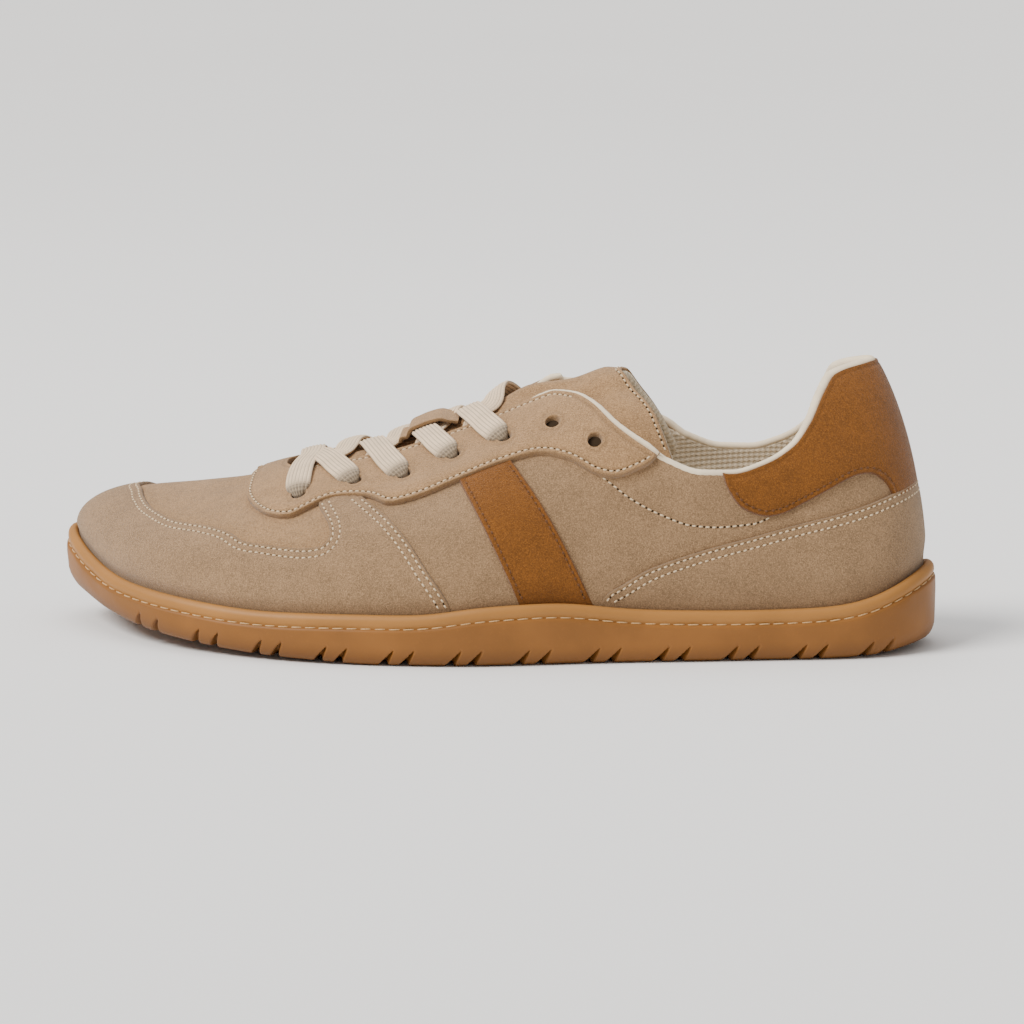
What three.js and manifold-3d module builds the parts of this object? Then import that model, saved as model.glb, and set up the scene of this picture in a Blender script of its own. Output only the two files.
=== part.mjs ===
// A barefoot shoe for the left foot: a hollow suede upper in a flat gum rubber cup sole.
// Millimetres. While it is built, X runs from the back of the heel to the toe, Y points
// to the outer side of the foot and Z up from the floor.

import * as THREE from 'three';
import { mergeVertices } from 'three/addons/utils/BufferGeometryUtils.js';
import Module from 'manifold-3d';

const wasm = await Module();
wasm.setup();

// Driving dimensions
const soleLength = 275;
const ballWidth = 102;
const heelHeight = 88;
const rimHeight = 15.5;
const toeSpring = 10;
const rimWall = 4.2;
const soleFloor = 5;
const upperWall = 2.2;
const overlayWall = 1.2;
const insoleWall = 3;
const tongueWall = 3;
const tongueCrown = 2.4;
const throatWidth = 19;
const eyeletHole = 4.2;
const laceWidth = 8;
const laceWall = 1.3;
const keeperWidth = 10;
const keeperWall = 1.1;
const notchWidth = 2.4;
const notchHeight = 3.6;
const notchDepth = 11;
const notchPitch = 20.4;
const notchGap = 6.3;
const stitchStep = 0.7;
const stitchDrop = 4.2;
const clearance = 0.3;

// Where the middle of the last begins and ends, as shares of the sole's length
const heelCentre = 0.115;
const toeCentre = 0.865;

// The throat's round front end, as a share of the sole's length
const throatFront = 0.731;

// How far sideways the lean of the instep reaches, and how much the sides bulge
const leanReach = 28;
const sideSwell = 1.4;

// Sole outline: place along the length, and outer and inner edge as shares of the ball width
const outline = [
  { along: 0.03, outer: 0.2, inner: -0.19 },
  { along: 0.08, outer: 0.285, inner: -0.285 },
  { along: 0.15, outer: 0.335, inner: -0.322 },
  { along: 0.25, outer: 0.398, inner: -0.305 },
  { along: 0.37, outer: 0.475, inner: -0.285 },
  { along: 0.48, outer: 0.56, inner: -0.305 },
  { along: 0.58, outer: 0.59, inner: -0.35 },
  { along: 0.68, outer: 0.575, inner: -0.4 },
  { along: 0.77, outer: 0.51, inner: -0.43 },
  { along: 0.85, outer: 0.405, inner: -0.43 },
  { along: 0.915, outer: 0.265, inner: -0.4 },
  { along: 0.96, outer: 0.12, inner: -0.34 },
];
const heelTip = 0.005;
const toeTip = -0.13;

// Sections of the last. rim: share of rimHeight. spring: share of toeSpring. centre: middle
// of the throat, share of ballWidth. top: share of heelHeight. full: how square the section
// is, 2 for an ellipse. lean: how much higher the inner side of the instep lies.
const sections = [
  { along: 0.0, rim: 1.68, spring: 0.25, centre: 0.0, top: 1.13, full: 1.65, lean: 0.0 },
  { along: 0.06, rim: 1.21, spring: 0.05, centre: 0.0, top: 1.13, full: 1.75, lean: 0.0 },
  { along: 0.14, rim: 1.02, spring: 0.0, centre: 0.0, top: 1.12, full: 1.9, lean: 0.0 },
  { along: 0.26, rim: 1.02, spring: 0.0, centre: 0.01, top: 1.06, full: 2.0, lean: 0.05 },
  { along: 0.34, rim: 1.1, spring: 0.0, centre: 0.02, top: 1.0, full: 1.95, lean: 0.15 },
  { along: 0.39, rim: 1.2, spring: 0.0, centre: 0.03, top: 0.955, full: 1.85, lean: 0.22 },
  { along: 0.44, rim: 1.2, spring: 0.0, centre: 0.035, top: 0.9, full: 1.75, lean: 0.25 },
  { along: 0.49, rim: 1.14, spring: 0.0, centre: 0.04, top: 0.83, full: 1.7, lean: 0.25 },
  { along: 0.54, rim: 1.03, spring: 0.0, centre: 0.04, top: 0.762, full: 1.65, lean: 0.22 },
  { along: 0.6, rim: 1.0, spring: 0.0, centre: 0.04, top: 0.69, full: 1.62, lean: 0.18 },
  { along: 0.68, rim: 0.98, spring: 0.08, centre: 0.03, top: 0.625, full: 1.7, lean: 0.12 },
  { along: 0.74, rim: 0.97, spring: 0.14, centre: 0.01, top: 0.575, full: 1.8, lean: 0.07 },
  { along: 0.8, rim: 1.02, spring: 0.25, centre: -0.02, top: 0.53, full: 1.95, lean: 0.03 },
  { along: 0.87, rim: 1.12, spring: 0.43, centre: -0.06, top: 0.5, full: 2.05, lean: 0.0 },
  { along: 0.94, rim: 1.35, spring: 0.7, centre: -0.09, top: 0.485, full: 2.1, lean: 0.0 },
  { along: 1.0, rim: 1.88, spring: 1.0, centre: -0.1, top: 0.48, full: 2.15, lean: 0.0 },
];

// Collar edge: height above the floor as a share of heelHeight
const collar = [
  { along: 0.0, height: 1.0 },
  { along: 0.06, height: 1.0 },
  { along: 0.09, height: 0.985 },
  { along: 0.113, height: 0.96 },
  { along: 0.124, height: 0.9 },
  { along: 0.135, height: 0.815 },
  { along: 0.153, height: 0.733 },
  { along: 0.185, height: 0.673 },
  { along: 0.218, height: 0.645 },
  { along: 0.251, height: 0.647 },
  { along: 0.291, height: 0.69 },
  { along: 0.32, height: 0.738 },
  { along: 0.349, height: 0.793 },
  { along: 0.375, height: 0.85 },
  { along: 0.389, height: 0.868 },
  { along: 0.42, height: 0.895 },
  { along: 0.47, height: 1.02 },
];

// Edges of the overlays. along: place on the rim. rise: share of the way up the side, from
// the rim at 0 to the middle of the throat at 1.
const eyestayEdge = [
  { along: 0.296, rise: 0.405 },
  { along: 0.312, rise: 0.382 },
  { along: 0.335, rise: 0.37 },
  { along: 0.359, rise: 0.392 },
  { along: 0.391, rise: 0.47 },
  { along: 0.427, rise: 0.533 },
  { along: 0.468, rise: 0.545 },
  { along: 0.528, rise: 0.536 },
  { along: 0.576, rise: 0.515 },
  { along: 0.606, rise: 0.51 },
  { along: 0.641, rise: 0.575 },
  { along: 0.67, rise: 0.597 },
  { along: 0.694, rise: 0.595 },
  { along: 0.711, rise: 0.55 },
  { along: 0.73, rise: 0.503 },
  { along: 0.757, rise: 0.52 },
  { along: 0.785, rise: 0.58 },
  { along: 0.815, rise: 0.68 },
  { along: 0.842, rise: 0.82 },
  { along: 0.868, rise: 1.0 },
];

// foot: place on the rim below that stretch of the mudguard's top edge
const mudguardEdge = [
  { foot: 0.515, along: 0.628, rise: 0.535 },
  { foot: 0.555, along: 0.664, rise: 0.57 },
  { foot: 0.592, along: 0.698, rise: 0.555 },
  { foot: 0.61, along: 0.682, rise: 0.48 },
  { foot: 0.63, along: 0.67, rise: 0.38 },
  { foot: 0.65, along: 0.676, rise: 0.325 },
  { foot: 0.69, along: 0.7, rise: 0.317 },
  { foot: 0.735, along: 0.745, rise: 0.35 },
  { foot: 0.765, along: 0.772, rise: 0.37 },
  { foot: 0.795, along: 0.8, rise: 0.435 },
  { foot: 0.835, along: 0.835, rise: 0.47 },
  { foot: 0.88, along: 0.88, rise: 0.49 },
  { foot: 0.91, along: 0.91, rise: 0.53 },
  { foot: 0.935, along: 0.935, rise: 0.57 },
  { foot: 0.958, along: 0.958, rise: 0.63 },
  { foot: 0.985, along: 0.985, rise: 0.72 },
  { foot: 1.0, along: 1.0, rise: 0.76 },
];

const foxingEdge = [
  { foot: 0.341, along: 0.348, rise: 0.035 },
  { foot: 0.332, along: 0.335, rise: 0.052 },
  { foot: 0.304, along: 0.304, rise: 0.099 },
  { foot: 0.254, along: 0.254, rise: 0.139 },
  { foot: 0.188, along: 0.188, rise: 0.173 },
  { foot: 0.121, along: 0.121, rise: 0.204 },
  { foot: 0.053, along: 0.053, rise: 0.224 },
  { foot: 0.0, along: 0.0, rise: 0.228 },
];

const heelTabEdge = [
  { along: 0.219, rise: 0.326 },
  { along: 0.212, rise: 0.291 },
  { along: 0.202, rise: 0.253 },
  { along: 0.185, rise: 0.23 },
  { along: 0.172, rise: 0.222 },
  { along: 0.154, rise: 0.225 },
  { along: 0.13, rise: 0.25 },
  { along: 0.103, rise: 0.275 },
  { along: 0.076, rise: 0.302 },
  { along: 0.059, rise: 0.308 },
  { along: 0.046, rise: 0.303 },
  { along: 0.035, rise: 0.285 },
  { along: 0.024, rise: 0.242 },
  { along: 0.0, rise: 0.24 },
];

// The saddle band's front and rear edge, at the rim and below the eyestay
const bandFoot = { front: 0.425, rear: 0.345 };
const bandHead = { front: 0.525, rear: 0.462 };

// Lace holes, from the toe up
const eyelets = [
  { along: 0.737, rise: 0.638 },
  { along: 0.67, rise: 0.695 },
  { along: 0.603, rise: 0.675 },
  { along: 0.54, rise: 0.704 },
  { along: 0.473, rise: 0.687 },
  { along: 0.411, rise: 0.659 },
  { along: 0.36, rise: 0.504 },
];
const lacedRows = 5;

// Side edges of the tongue, from its loose end to its root under the vamp
const tongueEdge = [
  { along: 0.285, rise: 0.4 },
  { along: 0.33, rise: 0.42 },
  { along: 0.4, rise: 0.5 },
  { along: 0.5, rise: 0.58 },
  { along: 0.6, rise: 0.64 },
  { along: 0.75, rise: 0.7 },
  { along: 0.85, rise: 0.72 },
];
const tongueEnd = 0.322;
const tongueCorner = 0.287;
const tongueRoot = 0.86;

// Gaps between neighbouring overlays, above the rim and below the opening, as shares of the rise
const seamGap = 0.013;
const footRise = 0.018;
const edgeGap = 0.016;

// Rows and columns of the solids
const wallRows = 5;
const plateRows = 3;
const laceSteps = 6;

// A smooth curve through points, as a natural cubic spline
function spline(xs, ys) {
  const last = xs.length - 1;
  const carry = new Array(last + 1).fill(0);
  const bend = new Array(last + 1).fill(0);
  for (let i = 1; i < last; i += 1) {
    const before = xs[i] - xs[i - 1];
    const after = xs[i + 1] - xs[i];
    const turn = 6 * ((ys[i + 1] - ys[i]) / after - (ys[i] - ys[i - 1]) / before);
    const pivot = 2 * (before + after) - before * carry[i - 1];
    carry[i] = after / pivot;
    bend[i] = (turn - before * bend[i - 1]) / pivot;
  }
  for (let i = last - 1; i > 0; i -= 1) {
    bend[i] -= carry[i] * bend[i + 1];
  }
  return (value) => {
    const x = Math.min(Math.max(value, xs[0]), xs[last]);
    let i = 0;
    while (i < last - 1 && xs[i + 1] < x) i += 1;
    const h = xs[i + 1] - xs[i];
    const a = xs[i + 1] - x;
    const b = x - xs[i];
    const curved = (bend[i] * a ** 3 + bend[i + 1] * b ** 3) / (6 * h);
    return curved + (ys[i] / h - (bend[i] * h) / 6) * a + (ys[i + 1] / h - (bend[i + 1] * h) / 6) * b;
  };
}

// A curve through points that never swings past them, for edges with sharp turns
function edgeCurve(xs, ys) {
  const slopes = xs.map((x, i) => {
    if (i === 0 || i === xs.length - 1) return 0;
    const before = (ys[i] - ys[i - 1]) / (x - xs[i - 1]);
    const after = (ys[i + 1] - ys[i]) / (xs[i + 1] - x);
    return before * after > 0 ? (2 * before * after) / (before + after) : 0;
  });
  return (value) => {
    const x = Math.min(Math.max(value, xs[0]), xs[xs.length - 1]);
    let i = 0;
    while (i < xs.length - 2 && xs[i + 1] < x) i += 1;
    const h = xs[i + 1] - xs[i];
    const t = (x - xs[i]) / h;
    const rise = ys[i] + (ys[i + 1] - ys[i]) * t * t * (3 - 2 * t);
    return rise + h * t * (1 - t) * (slopes[i] * (1 - t) - slopes[i + 1] * t);
  };
}

const sectionColumn = (name) => spline(sections.map((row) => row.along), sections.map((row) => row[name]));

// An edge's height or rise by its place, from a table in either order
function edgeColumn(table, name) {
  const rows = [...table].sort((a, b) => a.along - b.along);
  return edgeCurve(rows.map((row) => row.along), rows.map((row) => row[name]));
}

// A place on the rim is a turn: 0 at the back of the heel, PI at the toe tip, positive on
// the outer side of the foot and negative on the inner side.
const turnAt = (along) => Math.acos(1 - 2 * along);
const alongAt = (turn) => (1 - Math.cos(turn)) / 2;

const outlineTurns = [0, ...outline.map((row) => turnAt(row.along)), Math.PI];
const outerEdge = spline(outlineTurns, [heelTip, ...outline.map((row) => row.outer), toeTip]);
const innerEdge = spline(outlineTurns, [heelTip, ...outline.map((row) => row.inner), toeTip]);
const rimShare = sectionColumn('rim');
const springShare = edgeColumn(sections, 'spring');
const centreShare = sectionColumn('centre');
const topShare = sectionColumn('top');
const fullness = sectionColumn('full');
const leanAt = sectionColumn('lean');
const collarShare = edgeColumn(collar, 'height');

function edgePoint(turn) {
  const share = turn < 0 ? innerEdge(-turn) : outerEdge(turn);
  return [soleLength * alongAt(turn), ballWidth * share];
}

// Straight out from the sole's edge, level with the floor
function outward(turn) {
  const step = 0.001;
  const wrap = (angle) => (angle > Math.PI ? angle - 2 * Math.PI : angle);
  const [x0, y0] = edgePoint(turn - step < -Math.PI ? turn - step + 2 * Math.PI : turn - step);
  const [x1, y1] = edgePoint(wrap(turn + step));
  const size = Math.hypot(x1 - x0, y1 - y0);
  return [(y0 - y1) / size, (x1 - x0) / size];
}

const ground = (turn) => toeSpring * springShare(alongAt(turn));
const rimTop = (turn) => rimHeight * rimShare(alongAt(turn));
const centreY = (x) => ballWidth * centreShare(x / soleLength);

// Half a cross section, as a rounded superellipse: distance from the middle and height
function halfSection(rise, full) {
  if (rise >= 1) return [0, 1];
  const crest = 0.15;
  const angle = (rise * Math.PI) / 2;
  const reach = (Math.cos(angle) ** full + Math.sin(angle) ** full) ** (1 / full);
  const out = Math.cos(angle) / reach;
  const whole = (1 + crest * crest) ** (full / 2) - crest ** full;
  const lost = ((out * out + crest * crest) ** (full / 2) - crest ** full) / whole;
  return [out, Math.max(0, 1 - lost) ** (1 / full)];
}

// The last: a point of the upper's outer face, moved outward by a thickness
function last(turn, rise, thickness) {
  const along = alongAt(turn);
  const [edgeX, edgeY] = edgePoint(turn);
  const [outX, outY] = outward(turn);
  const inset = rimWall + clearance - thickness;
  const middle = heelCentre + (toeCentre - heelCentre) * along;
  const middleX = soleLength * middle;
  const [out, up] = halfSection(rise, fullness(along));
  const bulge = 1.6 * rise < 1 ? sideSwell * Math.sin(Math.PI * 1.6 * rise) * Math.sin(Math.abs(turn)) : 0;
  const x = (edgeX - inset * outX) * out + middleX * (1 - out) + bulge * outX;
  const y = (edgeY - inset * outY) * out + centreY(middleX) * (1 - out) + bulge * outY;
  const foot = rimTop(turn) + clearance;
  const top = heelHeight * topShare(x / soleLength) + thickness;
  const side = y - centreY(x);
  const lean = leanAt(x / soleLength) * side * Math.exp(-((side / leanReach) ** 2)) * (1 - out * out);
  return new THREE.Vector3(x, y, foot + (top - foot) * up - lean);
}

// Below the rim the upper's wall goes straight down into the sole
function skirt(turn, height, thickness) {
  const point = last(turn, 0, thickness);
  const floor = ground(turn) + soleFloor + clearance;
  return point.setZ(floor + (point.z - floor) * height);
}

// The first place up the side where a test turns positive, or well past the middle if none does
function firstRise(turn, test) {
  if (test(last(turn, 1, 0)) < 0) return 2;
  let low = 0;
  let high = 1;
  for (let i = 0; i < 30; i += 1) {
    const middle = (low + high) / 2;
    if (test(last(turn, middle, 0)) > 0) high = middle;
    else low = middle;
  }
  return high;
}

const throatRadius = throatWidth / 2;
const throatStart = soleLength * throatFront - throatRadius;
const throatBack = soleLength * 0.34;

function throatTest(point) {
  const ahead = Math.max(0, point.x - throatStart);
  if (ahead > throatRadius || point.x < throatBack) return -1;
  return Math.sqrt(throatRadius ** 2 - ahead ** 2) - Math.abs(point.y - centreY(point.x));
}

const collarTest = (point) => point.z - heelHeight * collarShare(point.x / soleLength);

// The upper's top edge, with the corner between throat and collar rounded off
function openingRise(turn) {
  const corner = 0.12;
  const throat = firstRise(turn, throatTest);
  const top = firstRise(turn, collarTest);
  const near = Math.max(0, corner - Math.abs(throat - top));
  return Math.min(1, Math.min(throat, top) - (near * near) / (4 * corner));
}

// Places on the rim, evenly turned from one to another
function spread(from, to, steps) {
  const start = turnAt(from);
  const end = turnAt(to);
  return Array.from({ length: steps }, (_, i) => start + ((end - start) * i) / steps);
}

const alongOfMiddle = (x) => (x / soleLength - heelCentre) / (toeCentre - heelCentre);
const throatEnd = alongOfMiddle(soleLength * throatFront);
const throatTurns = [0, 1, 2].map((i) => {
  const x = throatStart + throatRadius * Math.sin((i * Math.PI) / 6);
  return turnAt(alongOfMiddle(x));
});
const rearTurns = [
  ...spread(0, 0.34, 9),
  ...spread(0.34, 0.43, 4),
  ...spread(0.43, alongOfMiddle(throatStart), 6),
  ...throatTurns,
  turnAt(throatEnd),
];
const frontTurns = [...spread(throatEnd, 1, 7), Math.PI];
const sideTurns = [...rearTurns, ...frontTurns.slice(1)];
const loopTurns = [...sideTurns, ...sideTurns.slice(1, -1).reverse().map((turn) => -turn)];
const underOpening = (turn) => opening(turn) - (opening(turn) < 1 ? edgeGap : 0);
const openings = new Map(loopTurns.map((turn) => [turn, openingRise(turn)]));
const opening = (turn) => openings.get(turn) ?? openingRise(turn);

// Triangles of a grid of points, a row for each column of the surface
function gridFaces(grid, closed, skip = () => false) {
  const faces = [];
  const columns = closed ? grid.length : grid.length - 1;
  for (let i = 0; i < columns; i += 1) {
    const here = grid[i];
    const next = grid[(i + 1) % grid.length];
    for (let j = 0; j < here.length - 1; j += 1) {
      if (!skip(i, j)) {
        faces.push([here[j], next[j], next[j + 1]], [here[j], next[j + 1], here[j + 1]]);
      }
    }
  }
  return faces;
}

// A closed geometry from triangles whose corners meet, with its faces turned outward
function closedGeometry(faces) {
  const soup = new THREE.BufferGeometry().setFromPoints(faces.flat());
  const merged = mergeVertices(soup, 1e-4);
  const index = merged.getIndex().array;
  const place = merged.getAttribute('position');
  const corner = (i) => new THREE.Vector3().fromBufferAttribute(place, i);
  let kept = [];
  let volume = 0;
  for (let i = 0; i < index.length; i += 3) {
    const [a, b, c] = index.slice(i, i + 3);
    if (a !== b && b !== c && c !== a) {
      kept.push([a, b, c]);
      volume += corner(a).dot(corner(b).cross(corner(c)));
    }
  }
  if (volume < 0) kept = kept.map(([a, b, c]) => [a, c, b]);
  merged.setIndex(kept.flat());
  return merged;
}

// A wall between two grids of the same size, closed round its edges
function wallGeometry(outer, inner, closed = false, joined = () => false) {
  const end = outer[0].length - 1;
  const strips = [
    outer.map((points, i) => [inner[i][0], points[0]]),
    outer.map((points, i) => [points[end], inner[i][end]]),
  ];
  const faces = [
    ...gridFaces(outer, closed),
    ...gridFaces(inner, closed).map(([a, b, c]) => [a, c, b]),
    ...gridFaces(strips[0], closed),
    ...gridFaces(strips[1], closed, joined),
  ];
  if (!closed) {
    faces.push(...gridFaces([inner[0], outer[0]], false));
    faces.push(...gridFaces([outer[outer.length - 1], inner[outer.length - 1]], false));
  }
  return closedGeometry(faces);
}

function toSolid(geometry) {
  const bare = geometry.clone();
  bare.deleteAttribute('normal');
  bare.deleteAttribute('uv');
  const merged = mergeVertices(bare, 1e-4);
  return new wasm.Manifold(new wasm.Mesh({
    numProp: 3,
    vertProperties: new Float32Array(merged.getAttribute('position').array),
    triVerts: new Uint32Array(merged.getIndex().array),
  }));
}

function toGeometry(solid) {
  const mesh = solid.getMesh();
  const geometry = new THREE.BufferGeometry();
  geometry.setAttribute('position', new THREE.BufferAttribute(mesh.vertProperties, 3));
  geometry.setIndex(new THREE.BufferAttribute(mesh.triVerts, 1));
  return geometry;
}

// A cut leaves one body: what a tool shaves off an edge is dropped
function cut(geometry, tools) {
  const rest = tools.reduce((solid, tool) => solid.subtract(toSolid(tool)), toSolid(geometry));
  const bodies = rest.decompose().sort((a, b) => b.volume() - a.volume());
  return toGeometry(bodies[0]);
}

const finish = (color, roughness) => new THREE.MeshStandardMaterial({ color, roughness, metalness: 0 });
const suede = finish(0xab9377, 0.95);
const suedeDark = finish(0xa98c6c, 0.95);
const suedeBrown = finish(0xa0682a, 0.95);
const gum = finish(0xb07c45, 0.6);
const cotton = finish(0xe4d9c9, 0.9);
const felt = finish(0xd9cfc0, 0.95);

const shoe = new THREE.Group();

function add(name, geometry, material) {
  const flat = geometry.toNonIndexed();
  flat.computeVertexNormals();
  const mesh = new THREE.Mesh(flat, material);
  mesh.name = name;
  shoe.add(mesh);
  return mesh;
}

// Outsole: a section of the sole's side carried round the outline, closed by its floors
function outsole() {
  const bottomRound = 4.5;
  const section = (turn) => {
    const low = ground(turn);
    const high = rimTop(turn);
    const tall = high - low;
    const step = high - stitchDrop;
    return [
      [bottomRound, low],
      [bottomRound * 0.3, low + 0.12 * tall],
      [0, low + 0.5 * tall],
      [0.1, step],
      [stitchStep, step + 0.5 * stitchStep],
      [stitchStep + 0.2, high - 1.1],
      [rimWall * 0.55, high],
      [rimWall, high],
      [rimWall, low + soleFloor],
    ];
  };
  const rings = loopTurns.map((turn) => {
    const [x, y] = edgePoint(turn);
    const [outX, outY] = outward(turn);
    return section(turn).map(([inset, z]) => new THREE.Vector3(x - inset * outX, y - inset * outY, z));
  });
  const faces = [...gridFaces(rings, true), ...floorFaces(rings, 0, true), ...floorFaces(rings, rings[0].length - 1)];
  return cut(closedGeometry(faces), notches());
}

// A floor across a loop of points, from each place on the outer side to its twin on the inner
function floorFaces(rings, row, upward = false) {
  const half = sideTurns.length - 1;
  const across = [];
  for (let i = 0; i <= half; i += 1) {
    const twin = (rings.length - i) % rings.length;
    across.push([rings[i][row], rings[twin][row]]);
  }
  const faces = gridFaces(across, false);
  return upward ? faces.map(([a, b, c]) => [a, c, b]) : faces;
}

// Pairs of slanted notches cut up into the sole's edge
function notches() {
  const slant = THREE.MathUtils.degToRad(28);
  const firstPair = 0.06;
  const pairs = Math.floor((soleLength * (0.93 - firstPair)) / notchPitch);
  const tools = [];
  for (const side of [1, -1]) {
    for (let pair = 0; pair <= pairs; pair += 1) {
      for (const half of [-0.5, 0.5]) {
        const along = firstPair + (pair * notchPitch + half * notchGap) / soleLength;
        const turn = side * turnAt(along);
        const [x, y] = edgePoint(turn);
        const [outX, outY] = outward(turn);
        const tool = new THREE.BoxGeometry(notchWidth, 2 * notchDepth, 2 * notchHeight);
        tool.rotateY(-slant);
        tool.rotateZ(Math.atan2(-outX * side, outY * side));
        tool.translate(x, y, ground(turn));
        tools.push(tool);
      }
    }
  }
  return tools;
}

function insole() {
  const inset = rimWall + clearance + upperWall + clearance;
  const rings = loopTurns.map((turn) => {
    const [x, y] = edgePoint(turn);
    const [outX, outY] = outward(turn);
    const low = ground(turn) + soleFloor + clearance;
    return [low, low + insoleWall].map((z) => new THREE.Vector3(x - inset * outX, y - inset * outY, z));
  });
  return closedGeometry([...gridFaces(rings, true), ...floorFaces(rings, 0, true), ...floorFaces(rings, 1)]);
}

// The upper's wall between two thicknesses, from the cup's floor to the opening
function upperWallBetween(outer, inner) {
  const face = (thickness) => loopTurns.map((turn) => {
    const points = [0, 0.5].map((height) => skirt(turn, height, thickness));
    const top = opening(turn);
    for (let j = 0; j <= wallRows; j += 1) {
      points.push(last(turn, (top * j) / wallRows, thickness));
    }
    return points;
  });
  const frontStart = rearTurns.length - 1;
  const inFront = (i) => i >= frontStart && i < loopTurns.length - frontStart;
  return wallGeometry(face(outer), face(inner), true, inFront);
}

const upper = () => cut(upperWallBetween(0, -upperWall), eyeletTools());

// A plate over the upper, between columns of places. Each place is [turn, rise]. It starts
// inside the wall and is cut back by that wall, grown by the clearance.
const wallOutward = upperWallBetween(clearance, -upperWall);

function plate(columns) {
  const face = (thickness) => columns.map((places) => places.map(([turn, rise]) => last(turn, rise, thickness)));
  return cut(wallGeometry(face(clearance + overlayWall), face(-upperWall / 2)), [wallOutward]);
}

// Places from one to another, evenly in rows
function between(from, to, rows = plateRows) {
  return Array.from({ length: rows + 1 }, (_, j) => {
    const share = j / rows;
    return [from[0] + (to[0] - from[0]) * share, from[1] + (to[1] - from[1]) * share];
  });
}

const mirrored = (places) => places.map(([turn, rise]) => [-turn, rise]);

// Columns on the outer side, then the same on the inner side back again
const bothSides = (columns) => [...columns, ...columns.slice(0, -1).reverse().map(mirrored)];

const eyestayRise = edgeColumn(eyestayEdge, 'rise');

function eyestay() {
  const start = turnAt(eyestayEdge[0].along);
  const end = turnAt(eyestayEdge[eyestayEdge.length - 1].along);
  const inner = rearTurns.filter((turn) => turn > start);
  const side = (sign) => inner.map((turn) => {
    const share = (turn - inner[0]) / (inner[inner.length - 1] - inner[0]);
    const low = start + (end - start) * share;
    const rise = share === 1 ? 1 : eyestayRise(alongAt(low));
    return between([sign * low, rise], [sign * turn, underOpening(sign * turn)], 3);
  });
  return cut(plate([...side(1), ...side(-1).slice(0, -1).reverse()]), eyeletTools());
}

function eyeletTools() {
  return [1, -1].flatMap((side) => eyelets.map((row) => {
    const turn = side * turnAt(row.along);
    const base = last(turn, row.rise, 0);
    const above = last(turn, row.rise, 1);
    const tool = new THREE.CylinderGeometry(eyeletHole / 2, eyeletHole / 2, 16, 6);
    const axis = new THREE.Vector3().subVectors(above, base).normalize();
    tool.applyQuaternion(new THREE.Quaternion().setFromUnitVectors(new THREE.Vector3(0, 1, 0), axis));
    return tool.translate(base.x, base.y, base.z);
  }));
}

// Columns from a table whose rows hold a foot on the rim and a head up the side
function footedColumns(table, steps, rows) {
  const columns = [];
  table.forEach((row, i) => {
    const next = table[i + 1];
    const count = next ? steps : 1;
    for (let k = 0; k < count; k += 1) {
      const share = k / steps;
      const mix = (a, b) => (next ? a + (b - a) * share : a);
      const foot = mix(turnAt(row.foot), next && turnAt(next.foot));
      const head = mix(turnAt(row.along), next && turnAt(next.along));
      columns.push(between([foot, footRise], [head, mix(row.rise, next && next.rise)], rows));
    }
  });
  return columns;
}

function saddleBand(side) {
  const steps = 5;
  const columns = Array.from({ length: steps + 1 }, (_, i) => {
    const share = i / steps;
    const foot = bandFoot.rear + (bandFoot.front - bandFoot.rear) * share;
    const head = turnAt(bandHead.rear + (bandHead.front - bandHead.rear) * share);
    return between([side * turnAt(foot), footRise], [side * head, eyestayRise(alongAt(head)) - seamGap], 7);
  });
  return plate(columns);
}

function heelTab() {
  const rise = edgeColumn(heelTabEdge, 'rise');
  const start = turnAt(heelTabEdge[0].along);
  const turns = [start, ...rearTurns.filter((turn) => turn < start).reverse()];
  const side = (sign) => turns.map((turn) => {
    return between([sign * turn, rise(alongAt(turn))], [sign * turn, underOpening(sign * turn)], 4);
  });
  return plate([...side(1), ...side(-1).slice(0, -1).reverse()]);
}

// Tongue: a padded wall under the throat, crowned between the lace rows
const tongueRise = edgeColumn(tongueEdge, 'rise');

const tongueDrop = upperWall + 2 * clearance;

function tongueTop(turn, rise) {
  const point = last(turn, rise, -tongueDrop);
  const aside = Math.abs(point.y - centreY(point.x)) / (throatRadius - 1);
  const under = THREE.MathUtils.clamp((throatStart - point.x) / throatRadius, 0, 1);
  const crown = aside < 1 ? Math.cos((aside * Math.PI) / 2) ** 2 : 0;
  const tuck = 1.1 * THREE.MathUtils.clamp((aside - 1) / 2, 0, 1);
  return last(turn, rise, tongueCrown * crown * under - tuck - tongueDrop);
}

function tongue() {
  const across = [1, 0.78, 0.55, 0.32, 0.2, 0.1, 0];
  const steps = 12;
  const side = (sign) => across.map((share) => {
    const end = tongueEnd + (tongueCorner - tongueEnd) * share;
    return Array.from({ length: steps + 1 }, (_, i) => {
      const along = end + ((tongueRoot - end) * i) / steps;
      const rise = 1 - share * (1 - tongueRise(along));
      return [sign * turnAt(along), rise];
    });
  });
  const columns = [...side(1), ...side(-1).slice(0, -1).reverse()];
  const top = columns.map((places) => places.map(([turn, rise]) => tongueTop(turn, rise)));
  const drop = (turn, rise) => last(turn, rise, 0).sub(last(turn, rise, tongueWall));
  const low = columns.map((places, i) => places.map(([turn, rise], j) => top[i][j].clone().add(drop(turn, rise))));
  return wallGeometry(top, low);
}

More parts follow.
